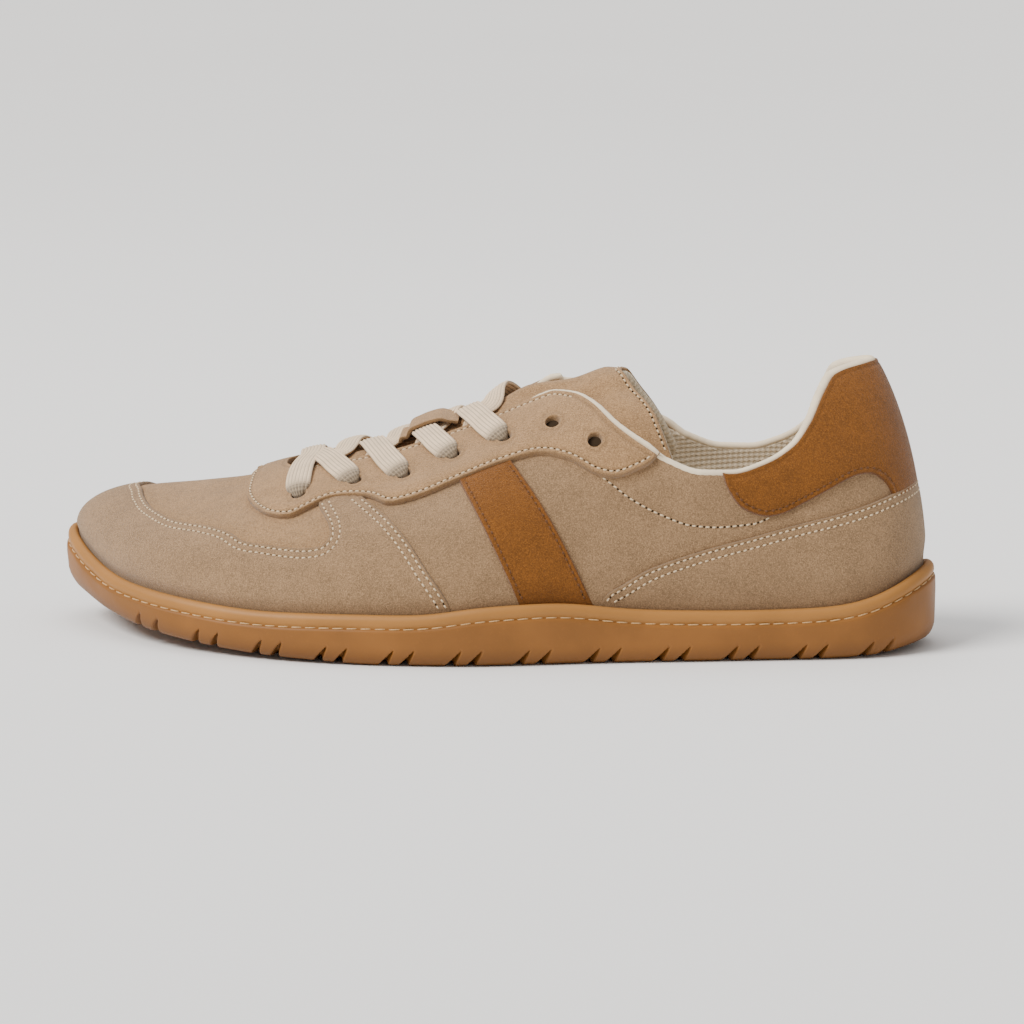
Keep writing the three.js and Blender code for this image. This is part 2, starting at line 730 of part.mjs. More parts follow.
// A flat strip along points, each with the way that its face looks
function strip(path, width, thickness, taper = () => 1) {
  const rings = path.map((stop, i) => {
    const before = path[Math.max(0, i - 1)].point;
    const after = path[Math.min(path.length - 1, i + 1)].point;
    const run = new THREE.Vector3().subVectors(after, before).normalize();
    const side = new THREE.Vector3().crossVectors(run, stop.up).normalize();
    const up = new THREE.Vector3().crossVectors(side, run);
    const half = (width / 2) * taper(i / (path.length - 1));
    const edge = Math.min(thickness / 2, half / 2);
    return [[-half, 0], [-half + edge, 1], [half - edge, 1], [half, 0], [half - edge, -1], [-half + edge, -1]]
      .map(([a, b]) => stop.point.clone().addScaledVector(side, a).addScaledVector(up, (b * thickness) / 2));
  });
  const faces = gridFaces(rings.map((ring) => [...ring, ring[0]]), false);
  for (const [ring, flip] of [[rings[0], true], [rings[rings.length - 1], false]]) {
    for (let k = 1; k < ring.length - 1; k += 1) {
      faces.push(flip ? [ring[0], ring[k], ring[k + 1]] : [ring[0], ring[k + 1], ring[k]]);
    }
  }
  return closedGeometry(faces);
}

const laceFloor = clearance + overlayWall + 2 * clearance;
const laceHeight = laceFloor + laceWall / 2;

// Square to the last's surface
function facing(turn, rise, thickness) {
  const step = 0.01;
  const onward = last(turn + step, rise, thickness).sub(last(turn - step, rise, thickness));
  const upward = last(turn, Math.min(1, rise + step), thickness).sub(last(turn, rise - step, thickness));
  const normal = onward.cross(upward).normalize();
  return normal.z < 0 ? normal.negate() : normal;
}

// Stops of a strip from place to place on the last, at heights above it
function stopsAlong(places) {
  return places.map(([turn, rise, height]) => ({
    point: last(turn, rise, 0).addScaledVector(facing(turn, rise, 0), height),
    up: facing(turn, rise, 0),
  }));
}

// Places on one side from a hole at 0 to the middle of the throat at 1, where x is given
function laceSide(side, hole, middleX) {
  const holeTurn = turnAt(hole.along);
  const middleTurn = turnAt(alongOfMiddle(middleX));
  return (share) => [
    side * (holeTurn + (middleTurn - holeTurn) * share),
    share === 1 ? 1 : hole.rise + (1 - hole.rise) * share,
  ];
}

const holeX = (row) => last(turnAt(row.along), row.rise, 0).x;
const narrowed = (share) => Math.min(1, 0.62 + 2.6 * share);

function laceBar(row) {
  const x = holeX(row);
  const places = [];
  for (const side of [1, -1]) {
    const at = laceSide(side, row, x);
    const leg = Array.from({ length: laceSteps + 1 }, (_, i) => [...at(i / laceSteps), laceHeight]);
    places.push(...(side > 0 ? leg : leg.slice(0, -1).reverse()));
  }
  return strip(stopsAlong(places), laceWidth, laceWall, (share) => narrowed(Math.min(share, 1 - share)));
}

// One lace from the throat beside a row to the next row's hole on the other side
function laceLeg(from, to, side) {
  const startAside = throatRadius - clearance - 3;
  const startX = holeX(from) - 0.32 * laceWidth;
  const endX = holeX(to);
  const startAt = laceSide(-side, from, startX);
  const share = startAside / (startAside + throatRadius * 2.2);
  const middleX = startX + (endX - startX) * share;
  const aside = (place) => Math.abs(last(...place, 0).y - centreY(last(...place, 0).x));
  let start = 1;
  while (start > 0 && aside(startAt(start)) < startAside) start -= 0.01;
  const begin = startAt(start);
  const crest = [begin[0] < 0 ? -turnAt(alongOfMiddle(middleX)) : turnAt(alongOfMiddle(middleX)), 1];
  const lowStart = laceWall / 2 + clearance - 1.5;
  const crestHeight = tongueCrown - tongueDrop + 3 * clearance + laceWall / 2;
  const places = Array.from({ length: 3 }, (_, i) => {
    const part = i / 3;
    return [
      begin[0] + (crest[0] - begin[0]) * part,
      begin[1] + (1 - begin[1]) * part,
      lowStart + (crestHeight - lowStart) * part,
    ];
  });
  const at = laceSide(side, to, middleX);
  for (let i = 0; i <= laceSteps; i += 1) {
    const part = i / laceSteps;
    const height = THREE.MathUtils.lerp(crestHeight, laceHeight, Math.min(1, part * 4));
    places.push([...at(1 - part), height]);
  }
  return strip(stopsAlong(places), laceWidth, laceWall, (part) => narrowed(1 - part));
}

function laceCrossing(from, to) {
  return toGeometry(toSolid(laceLeg(from, to, 1)).add(toSolid(laceLeg(from, to, -1))));
}

// Keeper: a short strap sewn down at both ends, bridging the crossing below the fourth row
function laceKeeper() {
  const startX = holeX(eyelets[2]) + 4;
  const endX = holeX(eyelets[3]) + 2;
  const steps = 10;
  const over = laceHeight + laceWall / 2 + 3 * clearance;
  const path = Array.from({ length: steps + 1 }, (_, i) => {
    const share = i / steps;
    const turn = turnAt(alongOfMiddle(startX + (endX - startX) * share));
    const arch = Math.min(1, 5 * Math.min(share, 1 - share));
    const low = tongueCrown - tongueDrop + 2 * clearance;
    return stopsAlong([[turn, 1, low + (over - low) * arch + keeperWall / 2]])[0];
  });
  return strip(path, keeperWidth, keeperWall);
}

const outsoleMesh = add('outsole', outsole(), gum);
add('insole', insole(), felt);
add('upper', upper(), suede);
add('tongue', tongue(), suedeDark);
add('mudguard', plate(bothSides(footedColumns(mudguardEdge, 1, 6))), suede);
add('eyestay', eyestay(), suedeDark);
add('saddle_band_outer', saddleBand(1), suedeBrown);
add('saddle_band_inner', saddleBand(-1), suedeBrown);
add('foxing', plate(bothSides(footedColumns(foxingEdge, 2, 3))), suede);
add('heel_tab', heelTab(), suedeBrown);
add('lace_keeper', laceKeeper(), suedeDark);
add('lace_bar', laceBar(eyelets[0]), cotton);
for (let row = 1; row < lacedRows; row += 1) {
  add(`lace_crossing_${row}`, laceCrossing(eyelets[row - 1], eyelets[row]), cotton);
}

// The origin goes to the middle of the sole, on the floor
const size = new THREE.Box3().setFromObject(outsoleMesh);
shoe.position.set(-(size.min.x + size.max.x) / 2, -(size.min.y + size.max.y) / 2, -size.min.z);
shoe.name = 'barefoot_shoe';

export default shoe;
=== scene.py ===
import math

import bmesh
import bpy
import numpy as np
from mathutils import Matrix, Vector
from mathutils.geometry import delaunay_2d_cdt


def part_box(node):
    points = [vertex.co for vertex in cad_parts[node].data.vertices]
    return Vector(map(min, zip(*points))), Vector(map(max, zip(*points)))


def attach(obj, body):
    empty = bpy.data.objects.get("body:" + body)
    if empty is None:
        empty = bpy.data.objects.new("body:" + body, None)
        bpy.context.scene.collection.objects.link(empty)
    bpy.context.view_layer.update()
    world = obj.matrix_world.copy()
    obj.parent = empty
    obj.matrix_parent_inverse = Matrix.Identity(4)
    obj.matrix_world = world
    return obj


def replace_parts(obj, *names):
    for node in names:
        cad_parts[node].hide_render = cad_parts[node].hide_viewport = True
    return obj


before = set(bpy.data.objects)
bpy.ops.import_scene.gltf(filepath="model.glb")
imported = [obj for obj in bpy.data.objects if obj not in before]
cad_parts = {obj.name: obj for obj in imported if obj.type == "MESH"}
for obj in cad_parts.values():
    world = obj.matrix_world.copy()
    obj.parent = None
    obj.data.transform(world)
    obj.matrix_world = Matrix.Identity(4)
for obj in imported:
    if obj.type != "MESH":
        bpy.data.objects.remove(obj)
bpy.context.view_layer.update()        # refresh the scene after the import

MM = 0.001
SOLE_LOW, SOLE_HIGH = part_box("outsole")
SOLE_LENGTH = (SOLE_HIGH[0] - SOLE_LOW[0]) / MM
BALL_WIDTH = 102.0
HEEL_HEIGHT = 88.0
RIM_HEIGHT = 15.5
TOE_SPRING = 10.0
RIM_WALL = 4.2
SOLE_FLOOR = 5.0
CLEARANCE = 0.3
STITCH_DROP = 4.2        # from the rim's top down to its stitch channel
THROAT_WIDTH = 19.0
THROAT_FRONT, THROAT_BACK = 0.731, 0.34    # shares of the sole's length, as the next two are
HEEL_CENTRE, TOE_CENTRE = 0.115, 0.865
MIDDLE_HEIGHT = 20.0     # height of the points that tell the last's inside from its outside
LEAN_REACH = 28.0
SIDE_SWELL = 1.4
SWELL_RATE = 1.6         # the side's swell ends where the rise is 1 / SWELL_RATE
TUCK_RISE = 0.07         # the rise over which the leather draws in toward the sole

# Leather and lining, outward from the last's surface
SHELL_WALL = 1.25
LINING_WALL = 2.3
OVERLAY = 1.2
FOXING = 1.4
EYESTAY = 2.1
EYELET_HOLE = 4.2
LACE_WIDTH = 8.0
LACE_WALL = 1.3

# Sole outline: place along the length, and each side as a share of the ball width
OUTLINE = {
    "along": (0.0, 0.03, 0.08, 0.15, 0.25, 0.37, 0.48, 0.58, 0.68, 0.77, 0.85, 0.915, 0.96, 1.0),
    "outer": (0.005, 0.2, 0.285, 0.335, 0.398, 0.475, 0.56, 0.59, 0.575, 0.51, 0.405, 0.265, 0.12, -0.13),
    "inner": (0.005, -0.19, -0.285, -0.322, -0.305, -0.285, -0.305, -0.35, -0.4, -0.43, -0.43, -0.4,
              -0.34, -0.13),
}

# Sections of the last, as shares of the rim's height, the toe spring, the ball width, the
# heel height, and how square and how tilted each section is
SECTIONS = {
    "along": (0.0, 0.06, 0.14, 0.26, 0.34, 0.39, 0.44, 0.49, 0.54, 0.6, 0.68, 0.74, 0.8, 0.87, 0.94, 1.0),
    "rim": (1.68, 1.21, 1.02, 1.02, 1.1, 1.2, 1.2, 1.14, 1.03, 1.0, 0.98, 0.97, 1.02, 1.12, 1.35, 1.88),
    "spring": (0.25, 0.05, 0, 0, 0, 0, 0, 0, 0, 0, 0.08, 0.14, 0.25, 0.43, 0.7, 1.0),
    "centre": (0, 0, 0, 0.01, 0.02, 0.03, 0.035, 0.04, 0.04, 0.04, 0.03, 0.01, -0.02, -0.06, -0.09, -0.1),
    "top": (1.13, 1.13, 1.12, 1.06, 1.0, 0.955, 0.9, 0.83, 0.762, 0.69, 0.625, 0.575, 0.53, 0.5, 0.485, 0.48),
    "full": (1.65, 1.75, 1.9, 2.0, 1.95, 1.85, 1.75, 1.7, 1.65, 1.62, 1.7, 1.8, 1.95, 2.05, 2.1, 2.15),
    "lean": (0, 0, 0, 0.05, 0.15, 0.22, 0.25, 0.25, 0.22, 0.18, 0.12, 0.07, 0.03, 0, 0, 0),
}

# Collar edge, as a share of the heel height
COLLAR = {
    "along": (0, 0.06, 0.09, 0.113, 0.124, 0.135, 0.153, 0.185, 0.218, 0.251, 0.291, 0.32, 0.349,
              0.375, 0.389, 0.42, 0.47),
    "height": (1.0, 1.0, 0.985, 0.96, 0.9, 0.815, 0.733, 0.673, 0.645, 0.647, 0.69, 0.738, 0.793,
               0.85, 0.868, 0.895, 1.02),
}


def spline(xs, ys):
    """A natural cubic spline."""
    xs, ys = np.array(xs, float), np.array(ys, float)
    gaps, last = np.diff(xs), len(xs) - 1
    slopes = np.diff(ys) / gaps
    system, turns = np.eye(last + 1), np.zeros(last + 1)
    for i in range(1, last):
        system[i, i - 1:i + 2] = gaps[i - 1], 2 * (gaps[i - 1] + gaps[i]), gaps[i]
        turns[i] = 6 * (slopes[i] - slopes[i - 1])
    bend = np.linalg.solve(system, turns)

    def at(value):
        x = np.clip(value, xs[0], xs[-1])
        i = np.clip(np.searchsorted(xs, x) - 1, 0, last - 1)
        h, a, b = gaps[i], xs[i + 1] - x, x - xs[i]
        curved = (bend[i] * a ** 3 + bend[i + 1] * b ** 3) / (6 * h)
        return curved + (ys[i] / h - bend[i] * h / 6) * a + (ys[i + 1] / h - bend[i + 1] * h / 6) * b

    return at


def edge_curve(xs, ys):
    """A curve through points that never swings past them."""
    xs, ys = np.array(xs, float), np.array(ys, float)
    steps = np.diff(ys) / np.diff(xs)
    slopes = np.zeros(len(xs))
    both = steps[:-1] * steps[1:] > 0
    slopes[1:-1][both] = 2 * steps[:-1][both] * steps[1:][both] / (steps[:-1] + steps[1:])[both]

    def at(value):
        x = np.clip(value, xs[0], xs[-1])
        i = np.clip(np.searchsorted(xs, x) - 1, 0, len(xs) - 2)
        h = xs[i + 1] - xs[i]
        t = (x - xs[i]) / h
        rise = ys[i] + (ys[i + 1] - ys[i]) * t * t * (3 - 2 * t)
        return rise + h * t * (1 - t) * (slopes[i] * (1 - t) - slopes[i + 1] * t)

    return at


def smoothstep(value):
    t = np.clip(value, 0.0, 1.0)
    return t * t * (3 - 2 * t)


# A place on the rim is a turn: 0 at the back of the heel, pi at the toe tip, positive on the
# outer side. Past pi it goes on round the inner side. A rise past 1 goes on down the other side.
def turn_at(along):
    return np.arccos(1 - 2 * np.asarray(along, float))


def along_at(turn):
    return (1 - np.cos(turn)) / 2


def both_sides(turns):
    """Turns of the outer side, then of the inner side, once round the foot."""
    return np.concatenate([turns, -turns[1:-1][::-1]])


OUTER_EDGE = spline(turn_at(OUTLINE["along"]), OUTLINE["outer"])
INNER_EDGE = spline(turn_at(OUTLINE["along"]), OUTLINE["inner"])
SHARE = {name: spline(SECTIONS["along"], SECTIONS[name]) for name in SECTIONS if name != "along"}
SHARE["spring"] = edge_curve(SECTIONS["along"], SECTIONS["spring"])
COLLAR_SHARE = edge_curve(COLLAR["along"], COLLAR["height"])


def edge_point(turn):
    share = np.where(turn < 0, INNER_EDGE(-turn), OUTER_EDGE(turn))
    return SOLE_LENGTH * along_at(turn), BALL_WIDTH * share


def wrapped(turn):
    return np.where(turn > math.pi, turn - 2 * math.pi, np.where(turn < -math.pi, turn + 2 * math.pi, turn))


def outward(turn):
    """Straight out from the sole's edge, level with the floor."""
    step = 0.001
    x0, y0 = edge_point(wrapped(turn - step))
    x1, y1 = edge_point(wrapped(turn + step))
    size = np.hypot(x1 - x0, y1 - y0)
    return (y0 - y1) / size, (x1 - x0) / size


def from_edge(turn, inset_by, level):
    """A point in from the sole's edge, at a level."""
    x, y = edge_point(turn)
    out_x, out_y = outward(turn)
    return np.stack([x - inset_by * out_x, y - inset_by * out_y, level], -1)


def ground(turn):
    return TOE_SPRING * SHARE["spring"](along_at(turn))


def rim_top(turn):
    return RIM_HEIGHT * SHARE["rim"](along_at(turn))


def centre_y(x):
    return BALL_WIDTH * SHARE["centre"](x / SOLE_LENGTH)


def half_section(rise, full):
    """A section of the last, from its foot at 0 to its crest at 1: how far out and how far up."""
    crest = 0.15
    angle = np.minimum(rise, 1 - 1e-9) * math.pi / 2
    reach = (np.cos(angle) ** full + np.sin(angle) ** full) ** (1 / full)
    out = np.cos(angle) / reach
    whole = (1 + crest ** 2) ** (full / 2) - crest ** full
    lost = ((out ** 2 + crest ** 2) ** (full / 2) - crest ** full) / whole
    return out, np.maximum(0, 1 - lost) ** (1 / full)


# Soft troughs and ridges of the worn-in leather: side, two ends as [along, rise], how wide and
# how deep. A depth below zero is a trough.
CREASES = (
    {"side": 1, "from": (0.8, 0.62), "to": (0.87, 0.86), "wide": 9, "deep": -0.9},
    {"side": -1, "from": (0.8, 0.62), "to": (0.87, 0.86), "wide": 9, "deep": -0.8},
    {"side": 1, "from": (0.745, 0.42), "to": (0.72, 0.2), "wide": 7, "deep": -0.5},
    {"side": -1, "from": (0.74, 0.42), "to": (0.7, 0.2), "wide": 7, "deep": -0.6},
    {"side": 1, "from": (0.6, 0.36), "to": (0.55, 0.12), "wide": 8, "deep": 0.5},
    {"side": 1, "from": (0.43, 0.44), "to": (0.37, 0.2), "wide": 9, "deep": -0.8},
    {"side": -1, "from": (0.43, 0.44), "to": (0.37, 0.2), "wide": 9, "deep": -0.9},
    {"side": 1, "from": (0.3, 0.15), "to": (0.2, 0.12), "wide": 8, "deep": -0.4},
    {"side": 1, "from": (0.5, 0.6), "to": (0.62, 0.57), "wide": 4, "deep": 0.45},
    {"side": 1, "from": (0.07, 0.42), "to": (0.12, 0.36), "wide": 9, "deep": -0.7},
    {"side": -1, "from": (0.07, 0.42), "to": (0.12, 0.36), "wide": 9, "deep": -0.7},
    {"side": -1, "from": (0.37, 0.84), "to": (0.45, 0.9), "wide": 9, "deep": 3.3},
)
PLANE = np.array([100.0, 85.0])  # the flat pattern: millimetres for a radian of turn and a rise of 1

# The padded collar above its stitched line, from under the eyestay to under the heel tab
COLLAR_SEAM = {
    "along": (0.12, 0.167, 0.187, 0.221, 0.254, 0.287, 0.32, 0.349, 0.4),
    "rise": (0.25, 0.221, 0.206, 0.203, 0.212, 0.246, 0.3, 0.375, 0.5),
}
COLLAR_SEAM_RISE = edge_curve(COLLAR_SEAM["along"], COLLAR_SEAM["rise"])
PAD_HEIGHT, PAD_REACH = 1.1, 9
GROOVE_DEPTH, GROOVE_WIDTH = 0.35, 1.2


def relief(turn, rise):
    """How far the leather stands out from the plain last, in millimetres."""
    place = np.stack([turn, rise], -1) * PLANE
    height = np.zeros(np.shape(turn))
    for crease in CREASES:
        ends = [np.array([crease["side"] * turn_at(a), r]) * PLANE for a, r in (crease["from"], crease["to"])]
        run = ends[1] - ends[0]
        share = np.clip((place - ends[0]) @ run / (run @ run), 0, 1)
        away = np.linalg.norm(place - ends[0] - share[..., None] * run, axis=-1)
        height = height + crease["deep"] * np.exp(-(away / crease["wide"]) ** 2)
    along = along_at(turn)
    above = (rise - COLLAR_SEAM_RISE(along)) * PLANE[1]
    padded = smoothstep((along - 0.03) / 0.1) * smoothstep((0.4 - along) / 0.06)
    groove = GROOVE_DEPTH * np.exp(-(above / GROOVE_WIDTH) ** 2)
    pad = smoothstep(above / PAD_REACH) * PAD_HEIGHT - groove
    return height + pad * padded


def last(turn, rise, thickness=0.0):
    """A point of the last's surface, moved outward by a thickness."""
    turn, rise, thickness = np.broadcast_arrays(*[np.asarray(v, float) for v in (turn, rise, thickness)])
    over = rise > 1
    turn = wrapped(np.where(over, -turn, turn))
    rise = np.where(over, 2 - rise, rise)
    sunk = np.minimum(rise, 0) * PLANE[1]
    rise = np.maximum(rise, 0)
    along = along_at(turn)
    edge_x, edge_y = edge_point(turn)
    out_x, out_y = outward(turn)
    tuck = smoothstep(rise / TUCK_RISE)
    at_foot = np.where(thickness >= 0, 0.5 + 0.12 * thickness, thickness)
    thickness = at_foot + (thickness - at_foot) * tuck + relief(turn, rise) * tuck
    inset = RIM_WALL + CLEARANCE - thickness
    middle_x = SOLE_LENGTH * (HEEL_CENTRE + (TOE_CENTRE - HEEL_CENTRE) * along)
    out, up = half_section(rise, SHARE["full"](along))
    swell = SIDE_SWELL * np.sin(math.pi * SWELL_RATE * rise) * np.sin(np.abs(turn))
    bulge = np.where(SWELL_RATE * rise < 1, swell, 0)
    x = (edge_x - inset * out_x) * out + middle_x * (1 - out) + bulge * out_x
    y = (edge_y - inset * out_y) * out + centre_y(middle_x) * (1 - out) + bulge * out_y
    foot = rim_top(turn) + CLEARANCE
    top = HEEL_HEIGHT * SHARE["top"](x / SOLE_LENGTH) + thickness
    side = y - centre_y(x)
    lean = SHARE["lean"](x / SOLE_LENGTH) * side * np.exp(-(side / LEAN_REACH) ** 2) * (1 - out ** 2)
    return np.stack([x, y, foot + (top - foot) * up - lean + sunk], -1)


def slopes(turn, rise, thickness=0.0):
    """How the surface runs with turn and with rise."""
    step = 0.002
    low, high = np.maximum(rise - step, -1), rise + step
    along_turn = (last(turn + step, rise, thickness) - last(turn - step, rise, thickness)) / (2 * step)
    along_rise = (last(turn, high, thickness) - last(turn, low, thickness)) / (high - low)[..., None]
    return along_turn, along_rise


def unit(vectors):
    return vectors / np.maximum(np.linalg.norm(vectors, axis=-1, keepdims=True), 1e-12)


def facing(turn, rise):
    """Square out of the last's surface."""
    along_turn, along_rise = slopes(np.asarray(turn, float), np.asarray(rise, float))
    normal = unit(np.cross(along_turn, along_rise))
    middle = np.stack([SOLE_LENGTH * (HEEL_CENTRE + (TOE_CENTRE - HEEL_CENTRE) * along_at(turn)),
                       np.zeros(np.shape(turn)), np.full(np.shape(turn), MIDDLE_HEIGHT)], -1)
    outside = np.sum(normal * (last(turn, rise) - middle), -1, keepdims=True)
    return np.where(outside < 0, -normal, normal)


FINE_TURNS = np.linspace(0, math.pi, 2000)
EDGE_X, EDGE_Y = edge_point(FINE_TURNS)
EDGE_LENGTHS = np.concatenate([[0], np.cumsum(np.hypot(np.diff(EDGE_X), np.diff(EDGE_Y)))])
SHIFT = np.array([SOLE_LOW[0] / MM, SOLE_HIGH[1] / MM - EDGE_Y.max(), 0.0])


def put(points):
    """From the last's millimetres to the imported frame's metres."""
    return (np.asarray(points, float) + SHIFT) * MM


# Meshes
WELD = 0.004


def build(name, points, faces, sharp=math.radians(50), **layers):
    """A mesh piece from the last's millimetres, with smooth faces and named values per point."""
    mesh = bpy.data.meshes.new(name)
    mesh.from_pydata(put(points).tolist(), [], [list(map(int, face)) for face in faces])
    for layer, values in layers.items():
        store = mesh.attributes.new(layer, "FLOAT", "POINT")
        store.data.foreach_set("value", np.asarray(values, np.float32).ravel())
    work = bmesh.new()
    work.from_mesh(mesh)
    bmesh.ops.remove_doubles(work, verts=work.verts, dist=WELD * MM)
    bmesh.ops.recalc_face_normals(work, faces=work.faces)
    work.to_mesh(mesh)
    work.free()
    mesh.shade_smooth()
    mesh.set_sharp_from_angle(angle=sharp)
    piece = bpy.data.objects.new(name, mesh)
    bpy.context.scene.collection.objects.link(piece)
    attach(piece, "root")
    return piece


def dress(piece, material):
    piece.data.materials.append(material)
    return piece


def grid_faces(columns, rows, closed=False, start=0):
    """Quads of a grid of points, columns first."""
    i = np.arange(columns if closed else columns - 1)[:, None]
    j = np.arange(rows - 1)[None, :]
    after = (i + 1) % columns
    quads = np.stack([i * rows + j, after * rows + j, after * rows + j + 1, i * rows + j + 1], -1)
    return (quads.reshape(-1, 4) + start).tolist()


def bridge(first, second, closed=False):
    """Quads between two rows of point numbers."""
    quads = []
    for i in range(len(first) if closed else len(first) - 1):
        after = (i + 1) % len(first)
        quads.append([first[i], first[after], second[after], second[i]])
    return quads


def tube(rings, around, start=0):
    """Quads between rings of points, one after the other, with a cap at each end."""
    end = start + (rings - 1) * around
    faces = []
    for ring in range(start, end, around):
        faces += bridge(range(ring, ring + around), range(ring + around, ring + 2 * around), True)
    return faces + [list(range(start, start + around))[::-1], list(range(end, end + around))]


def angles_round(count):
    """Even angles round a circle."""
    return np.linspace(0, 2 * math.pi, count, endpoint=False)


def path_lengths(points):
    """How far along a path each of its points lies."""
    return np.concatenate([[0], np.cumsum(np.linalg.norm(np.diff(points, axis=0), axis=1))])


def read_along(at, lengths, rows):
    """Rows of values, read off a path at given lengths."""
    return np.stack([np.interp(at, lengths, rows[:, k]) for k in range(rows.shape[1])], -1)


def resample(points, step, closed=False):
    """Even stops along a path, by its length."""
    points = np.asarray(points, float)
    if closed:
        points = np.vstack([points, points[:1]])
    lengths = path_lengths(points)
    count = max(2, int(round(lengths[-1] / step)))
    even = read_along(np.linspace(0, lengths[-1], count + 1), lengths, points)
    return even[:-1] if closed else even


def rounded(points, steps=14):
    """A smooth path through points, as a centripetal Catmull-Rom curve."""
    points = np.asarray(points, float)
    ends = np.vstack([2 * points[0] - points[1], points, 2 * points[-1] - points[-2]])
    path = []
    for a, b, c, d in zip(ends, ends[1:], ends[2:], ends[3:]):
        pairs = ((a, b), (b, c), (c, d))
        knots = np.cumsum([0] + [math.sqrt(max(np.linalg.norm(q - p), 1e-6)) for p, q in pairs])
        for t in np.linspace(knots[1], knots[2], steps, endpoint=False):
            def blend(p, q, low, high):
                return ((high - t) * p + (t - low) * q) / (high - low)
            ab, bc, cd = (blend(*pair, knots[k], knots[k + 1]) for k, pair in enumerate(pairs))
            abc, bcd = blend(ab, bc, knots[0], knots[2]), blend(bc, cd, knots[1], knots[3])
            path.append(blend(abc, bcd, knots[1], knots[2]))
    return np.vstack([path, points[-1:]])


# The opening: throat and collar
THROAT_RADIUS = THROAT_WIDTH / 2
THROAT_START = SOLE_LENGTH * THROAT_FRONT - THROAT_RADIUS


def throat_test(point):
    """Above zero inside the throat, seen from above."""
    x, y = point[..., 0], point[..., 1]
    ahead = np.maximum(0, x - THROAT_START)
    inside = np.sqrt(np.maximum(THROAT_RADIUS ** 2 - ahead ** 2, 0)) - np.abs(y - centre_y(x))
    return np.where((ahead > THROAT_RADIUS) | (x < SOLE_LENGTH * THROAT_BACK), -1, inside)


def collar_test(point):
    """Above zero over the collar's edge, seen from the side."""
    return point[..., 2] - HEEL_HEIGHT * COLLAR_SHARE(point[..., 0] / SOLE_LENGTH)


def first_rise(turn, test):
    """The lowest rise on each turn's line where a test turns positive, or 2 where none does."""
    low, high = np.zeros(turn.shape), np.ones(turn.shape)
    reached = test(last(turn, np.ones(turn.shape))) >= 0
    for _ in range(28):
        middle = (low + high) / 2
        past = test(last(turn, middle)) > 0
        high, low = np.where(past, middle, high), np.where(past, low, middle)
    return np.where(reached, high, 2.0)


def opening(turn):
    """The upper's top edge, with the corner between throat and collar rounded off."""
    corner = 0.12
    turn = np.asarray(turn, float)
    throat, top = first_rise(turn, throat_test), first_rise(turn, collar_test)
    near = np.maximum(0, corner - np.abs(throat - top))
    return np.minimum(1, np.minimum(throat, top) - near * near / (4 * corner))


def joined_turn(x):
    """The turn whose line up the side meets the middle at x."""
    return turn_at((x / SOLE_LENGTH - HEEL_CENTRE) / (TOE_CENTRE - HEEL_CENTRE))


THROAT_END = float(joined_turn(SOLE_LENGTH * THROAT_FRONT))

EYELETS = {
    "along": (0.737, 0.67, 0.603, 0.54, 0.473, 0.411, 0.36),
    "rise": (0.638, 0.695, 0.675, 0.704, 0.687, 0.659, 0.504),
}
HOLES = [(side * float(turn_at(along)), rise) for side in (1, -1)
         for along, rise in zip(EYELETS["along"], EYELETS["rise"])]

# Upper: one wall of suede with a lining inside it
FOOT_SHADE = 2.6     # how high the painted shade at the leather's foot reaches, in millimetres
SHELL_ROWS = 74
TOP_ROWS = (1.5, 0.9, 0.45, 0.15)   # rows close under a wall's top edge, in millimetres below it


def painted_foot_shade(turn, rise):
    """Painted shade where the leather meets the sole: 1 there, falling off above it."""
    folded = np.where(rise > 1, 2 - rise, rise)
    return np.exp(-np.maximum(folded, 0) * PLANE[1] / FOOT_SHADE)


side_turns = np.concatenate([np.linspace(0, 0.45, 26)[:-1], np.linspace(0.45, THROAT_END, 150)[:-1],
                             np.linspace(THROAT_END, math.pi, 52)])
loop_turns = both_sides(side_turns)
loop_tops = opening(loop_turns)


def wall(name, outer, inner, raised=0.0, rows=SHELL_ROWS, skirt=0.1, **layers):
    """A wall all round the foot, between two heights over the last. Its top edge can be raised,
    and the skirt reaches down inside the sole."""
    columns = len(loop_turns)
    open_column = np.abs(loop_turns) < THROAT_END - 1e-6
    up_side = last(loop_turns[:, None], loop_tops[:, None] * np.linspace(0, 1, rows - 5))
    lengths = np.linalg.norm(np.diff(up_side, axis=1), axis=2).sum(1)
    tops = loop_tops + np.where(open_column, raised * np.ones(columns) / lengths * loop_tops, 0)
    tops = np.where(open_column, tops, 1.0)
    climb = (1 - 2.2 / lengths)[:, None] * np.linspace(0, 1, rows - 7)[:-1][None, :]
    edge = 1 - np.stack([below / lengths for below in TOP_ROWS], 1)
    steps = np.concatenate([climb, edge, np.ones((columns, 1))], 1)
    foot_rows = [np.full((columns, 1), -skirt), np.full((columns, 1), -skirt / 2)]
    rises = np.concatenate(foot_rows + [steps * tops[:, None]], 1)
    away = (1 - steps) * lengths[:, None]
    soft = np.concatenate([np.zeros((columns, 2)), 0.3 * (1 - np.clip(away / 0.9, 0, 1)) ** 2], 1)
    soft = soft * np.where(open_column, 1, 0)[:, None]
    turns = np.broadcast_to(loop_turns[:, None], rises.shape)
    points = [last(turns, rises, height).reshape(-1, 3) for height in (outer - soft, inner + soft)]
    count = rises.shape[1]
    size = columns * count
    faces = grid_faces(columns, count, True) + grid_faces(columns, count, True, size)
    low = np.arange(columns) * count
    faces += bridge(low, low + size, True)
    top = low + count - 1
    is_open = [bool(open_column[i] or open_column[(i + 1) % columns]) for i in range(columns)]
    faces += [face for face, keep in zip(bridge(top, top + size, True), is_open) if keep]
    both = np.tile(turns.ravel(), 2), np.tile(rises.ravel(), 2)
    made = {layer: rule(*both) for layer, rule in layers.items()}
    # The foot layer is painted shade where the wall meets the sole.
    return build(name, np.concatenate(points), faces, foot=painted_foot_shade(*both), **made)


